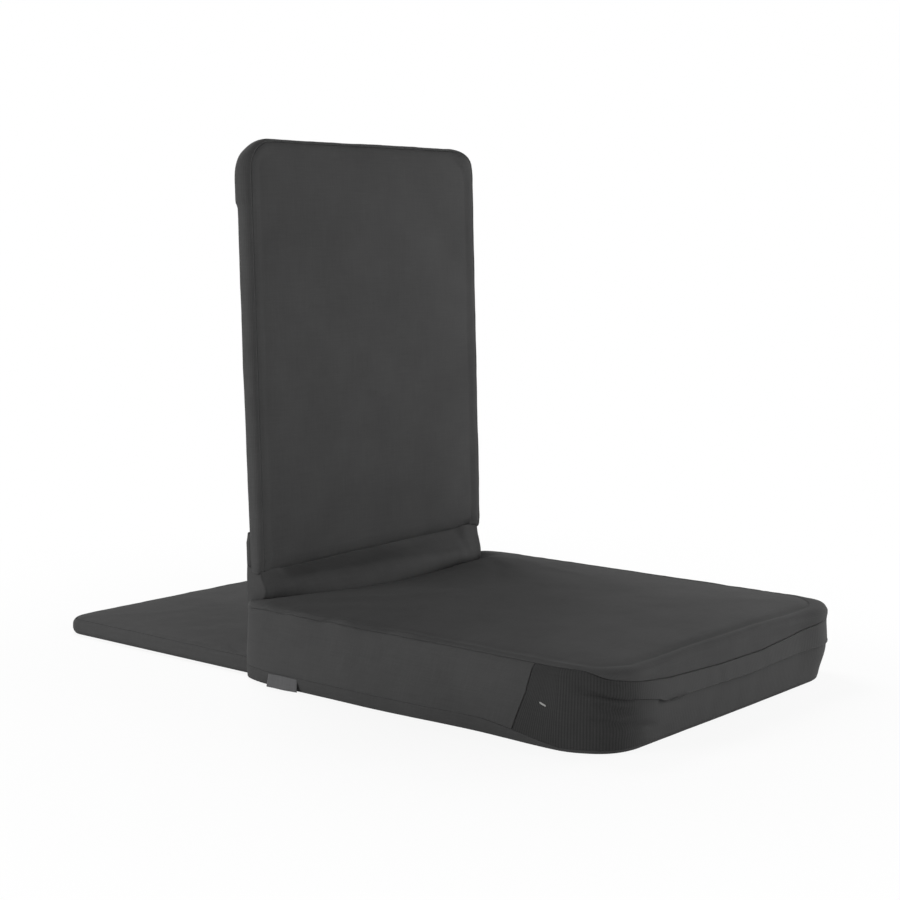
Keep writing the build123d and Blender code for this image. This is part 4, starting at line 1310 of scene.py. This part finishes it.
def make_hinge_strip():
    """The loose strip from the fold line down to the seat, closed by a gusset at each end."""
    points = strip_grid()
    # the top is tucked in behind the back's lower edge, and the foot is sewn into the seat
    tuck = points[:, :1] + np.array([0.0, 2.0, 8.0]) * (points[:, :1, 1:2] < 84.0)
    points = np.concatenate([tuck, points, points[:, -1:] - np.array([0.0, 0.0, 4.0])], axis=1)
    row = np.arange(points.shape[1])
    middle = np.sin(np.pi * np.clip((row - 1) / (STRIP_ROWS - 1), 0, 1))[None, :] ** 0.7
    outward = -grid_normals(points, False)
    lift = (0.8 * ripples(points, 42.0, 31, 2) + 0.3 * ripples(points, 15.0, 32, 2)) * middle
    lift = add_folds(lift, points, STRIP_FOLDS, middle)
    points = points + outward * lift[..., None]
    # cloth is measured along a row below the head and down a column near the middle
    uvs = cloth_grid(length_along(points[:, 8]), length_along(points[STRIP_MIDDLE // 2]))
    obj = cut_sheet("hinge_strip_cloth", points[::-1], uvs[::-1])
    area = finish_sheet(obj, 0.9, "canvas", None, "hinge_strip")
    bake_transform(obj)


REAR_COVER_TOP = 141.0     # about the height of its hem, before it leans
REAR_COVER_LOW = 17.0      # its foot, just below the floor panel's top
REAR_COVER_HALF = 173.4
REAR_COVER_FACE = 94.0     # y of its rear face


def make_rear_cover():
    """The cloth behind the back's foot: hemmed at the top, its side edges rolled forward."""
    corner = 5.0
    inner = REAR_COVER_HALF - corner
    turn = np.radians(np.linspace(-35.0, 90.0, 12))
    near = [(-inner - corner * math.cos(a), REAR_COVER_FACE - corner + corner * math.sin(a))
            for a in turn]
    middle = [(x, REAR_COVER_FACE) for x in np.linspace(-inner, inner, 121)[1:-1]]
    plan = np.array(near + middle + [(-x, y) for x, y in near[::-1]])
    walk = length_along(plan)
    from_end = np.minimum(walk, walk[-1] - walk)
    top = REAR_COVER_TOP - 2.5 + 0.8 * np.sin(walk / 37.0) - 1.5 * smooth(11.0, 0.0, from_end)
    along = np.gradient(plan, axis=0)
    outward = np.stack([-along[:, 1], along[:, 0]], 1)
    outward /= np.linalg.norm(outward, axis=1, keepdims=True)
    # rows: up the plate, then over the hem and a little way down behind it
    rows = [(REAR_COVER_LOW + (top - REAR_COVER_LOW) * t, 0.35 * bump(t, 1.0, 0.09))
            for t in np.linspace(0.0, 1.0, 30)]
    rows += [(top + up, out) for up, out in ((0.8, 0.0), (1.0, -0.7), (0.4, -1.3), (-5.0, -1.5))]
    points = np.zeros((len(plan), len(rows), 3))
    for row, (height, out) in enumerate(rows):
        points[:, row, :2] = plan + outward * out
        points[:, row, 2] = height
    sag = 0.5 * ripples(points, 55.0, 41, 2) + 0.3 * ripples(points, 18.0, 42, 2)
    sag = np.maximum(sag * smooth(2.0, 14.0, from_end)[:, None], -0.4)
    points[..., :2] += outward[:, None, :] * sag[..., None]
    # the top corners hug the brackets under them
    hug = 2.6 * smooth(129.0, 138.0, points[..., 2]) * smooth(14.0, 6.0, from_end)[:, None]
    points[..., 0] -= np.sign(points[..., 0]) * hug
    uvs = np.stack([np.repeat(walk[:, None], len(rows), 1), points[..., 2]], 2)
    obj = cut_sheet("rear_upright_cloth", lean_points(points)[::-1], uvs[::-1])
    area = finish_sheet(obj, 0.9, "canvas", "base", "rear_upright_cover")


# ---------------------------------------------------------------- small pieces
def side_x(y, z, points):
    """How far out the seat's near side stands at a height and distance along."""
    near = points[NEAR_SIDE:NEAR_SIDE + SEAT_SIDE, :EDGE_ROW].reshape(-1, 3)
    gap = np.hypot(near[:, 1] - y, near[:, 2] - z)
    return near[np.argmin(gap), 0]


def make_label(points):
    """A bare woven tab caught in the band seam; it flares out, its free edge near the floor."""
    low_end, high_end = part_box("label_tab")[0][1] / MM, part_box("label_tab")[1][1] / MM
    across = np.linspace(low_end, high_end, 30)
    drop = np.linspace(0.0, 1.0, 12)
    grid = np.zeros((len(across), len(drop), 3))
    for i, y in enumerate(across):
        top_x = side_x(y, 12.0, points) + 0.4
        share = (y - low_end) / (high_end - low_end)
        stand = 5.0 + 2.0 * share + 0.4 * math.sin(y / 5.0)
        for k, t in enumerate(drop):
            out = stand * (0.3 * t + 0.7 * t * t) + 0.8 * math.sin(math.pi * t)
            grid[i, k] = (top_x - out, y - 4.0 * t - 2.0, 13.2 - 12.4 * t)
    obj = cut_sheet("woven_side_tab", grid, cloth_grid(across, 15.0 * drop))
    area = finish_sheet(obj, 0.7, "woven_tab", "base", "label_tab")


def make_tack(points):
    """A bar tack of light thread: close satin stitches over a short core."""
    length, height = 7.0, 1.7
    along = np.linspace(0.0, 1.0, 66)
    across = np.linspace(-1.0, 1.0, 9)
    grid = np.zeros((len(along), len(across), 3))
    start = np.array([side_x(-299.0, 39.2, points) - 0.1, -299.0, 39.2])
    end = np.array([side_x(-306.0, 37.2, points) - 0.1, -306.0, 37.2])
    for i, t in enumerate(along):
        end_fade = math.sqrt(max(1.0 - (2.0 * t - 1.0) ** 8, 0.0))
        thread = 0.16 * abs(math.sin(math.pi * 11.0 * t))
        for k, v in enumerate(across):
            core = start + (end - start) * t
            swell = (0.62 * math.sqrt(1.0 - v * v) + thread) * end_fade
            grid[i, k] = core + np.array([-swell, 0.0, 0.5 * height * v * end_fade])
    obj = cut_sheet("zip_end_stitches", grid, cloth_grid(length * along, height * across))
    finish_piece(obj, "light_thread", "base", "zip_end_tack")


def make_underside():
    """The bottom cloth of seat and panel, with a turned and stitched edge."""
    seat_size = (SEAT_HALF - 1.5, SEAT_FRONT + 1.5, SEAT_REAR - 0.5, 48.0, 36.0, SEAT_COUNTS)
    panel_size = (PANEL_HALF - 4.0, SEAT_REAR + 0.5, PANEL_REAR - 4.0, 2.5, 26.0, PANEL_COUNTS)
    # inset and height of each ring of points, from the edge's fold inwards
    rings = [(0.0, 1.3), (0.0, 0.7), (0.8, 0.2), (8.0, 0.1), (8.6, 0.5), (30.0, 0.6),
             (60.0, 0.6), (100.0, 0.6), (134.0, 0.6)]
    for name, size, flat in (("seat_bottom_cloth", seat_size, (0.42, 0.475)),
                             ("panel_bottom_cloth", panel_size, (0.39, 0.30))):
        columns = 2 * sum(size[-1])
        points = np.zeros((columns, len(rings), 3))
        for row, (inset, z) in enumerate(rings):
            points[:, row, :2] = drawn_in(*size, inset)
            points[:, row, 2] = z
        end, low, side = size[-1][:3]
        start = end // 2 if name.startswith("seat") else end + low + side // 2
        shape = points.shape[:2]
        faces = grid_faces(shape, np.ones((columns, len(rings) - 1), bool), True)
        faces = [face[::-1] for face in faces] + ladder_faces(shape, len(rings) - 1, start, False)
        obj = cut_piece(name, points, points[..., :2], faces)
        area = finish_sheet(obj, 0.6, "base_canvas", "base", "underside_sheet")


# ---------------------------------------------------------------- main
bpy.context.scene.view_settings.view_transform = "Standard"
materials = make_materials()
make_world()
make_lights()
make_floor()
make_camera()
slots = {row["node"]: row["material_slot"] for row in frame["record"]["subparts"]}
for name, obj in frame["nodes"].items():
    give_material(obj, slots[name])
seat_points, seat_cloth = make_seat()
make_lap(seat_points, seat_cloth)
make_back()
make_floor_panel()
make_hinge_strip()
make_rear_cover()
make_label(seat_points)
make_tack(seat_points)
make_underside()
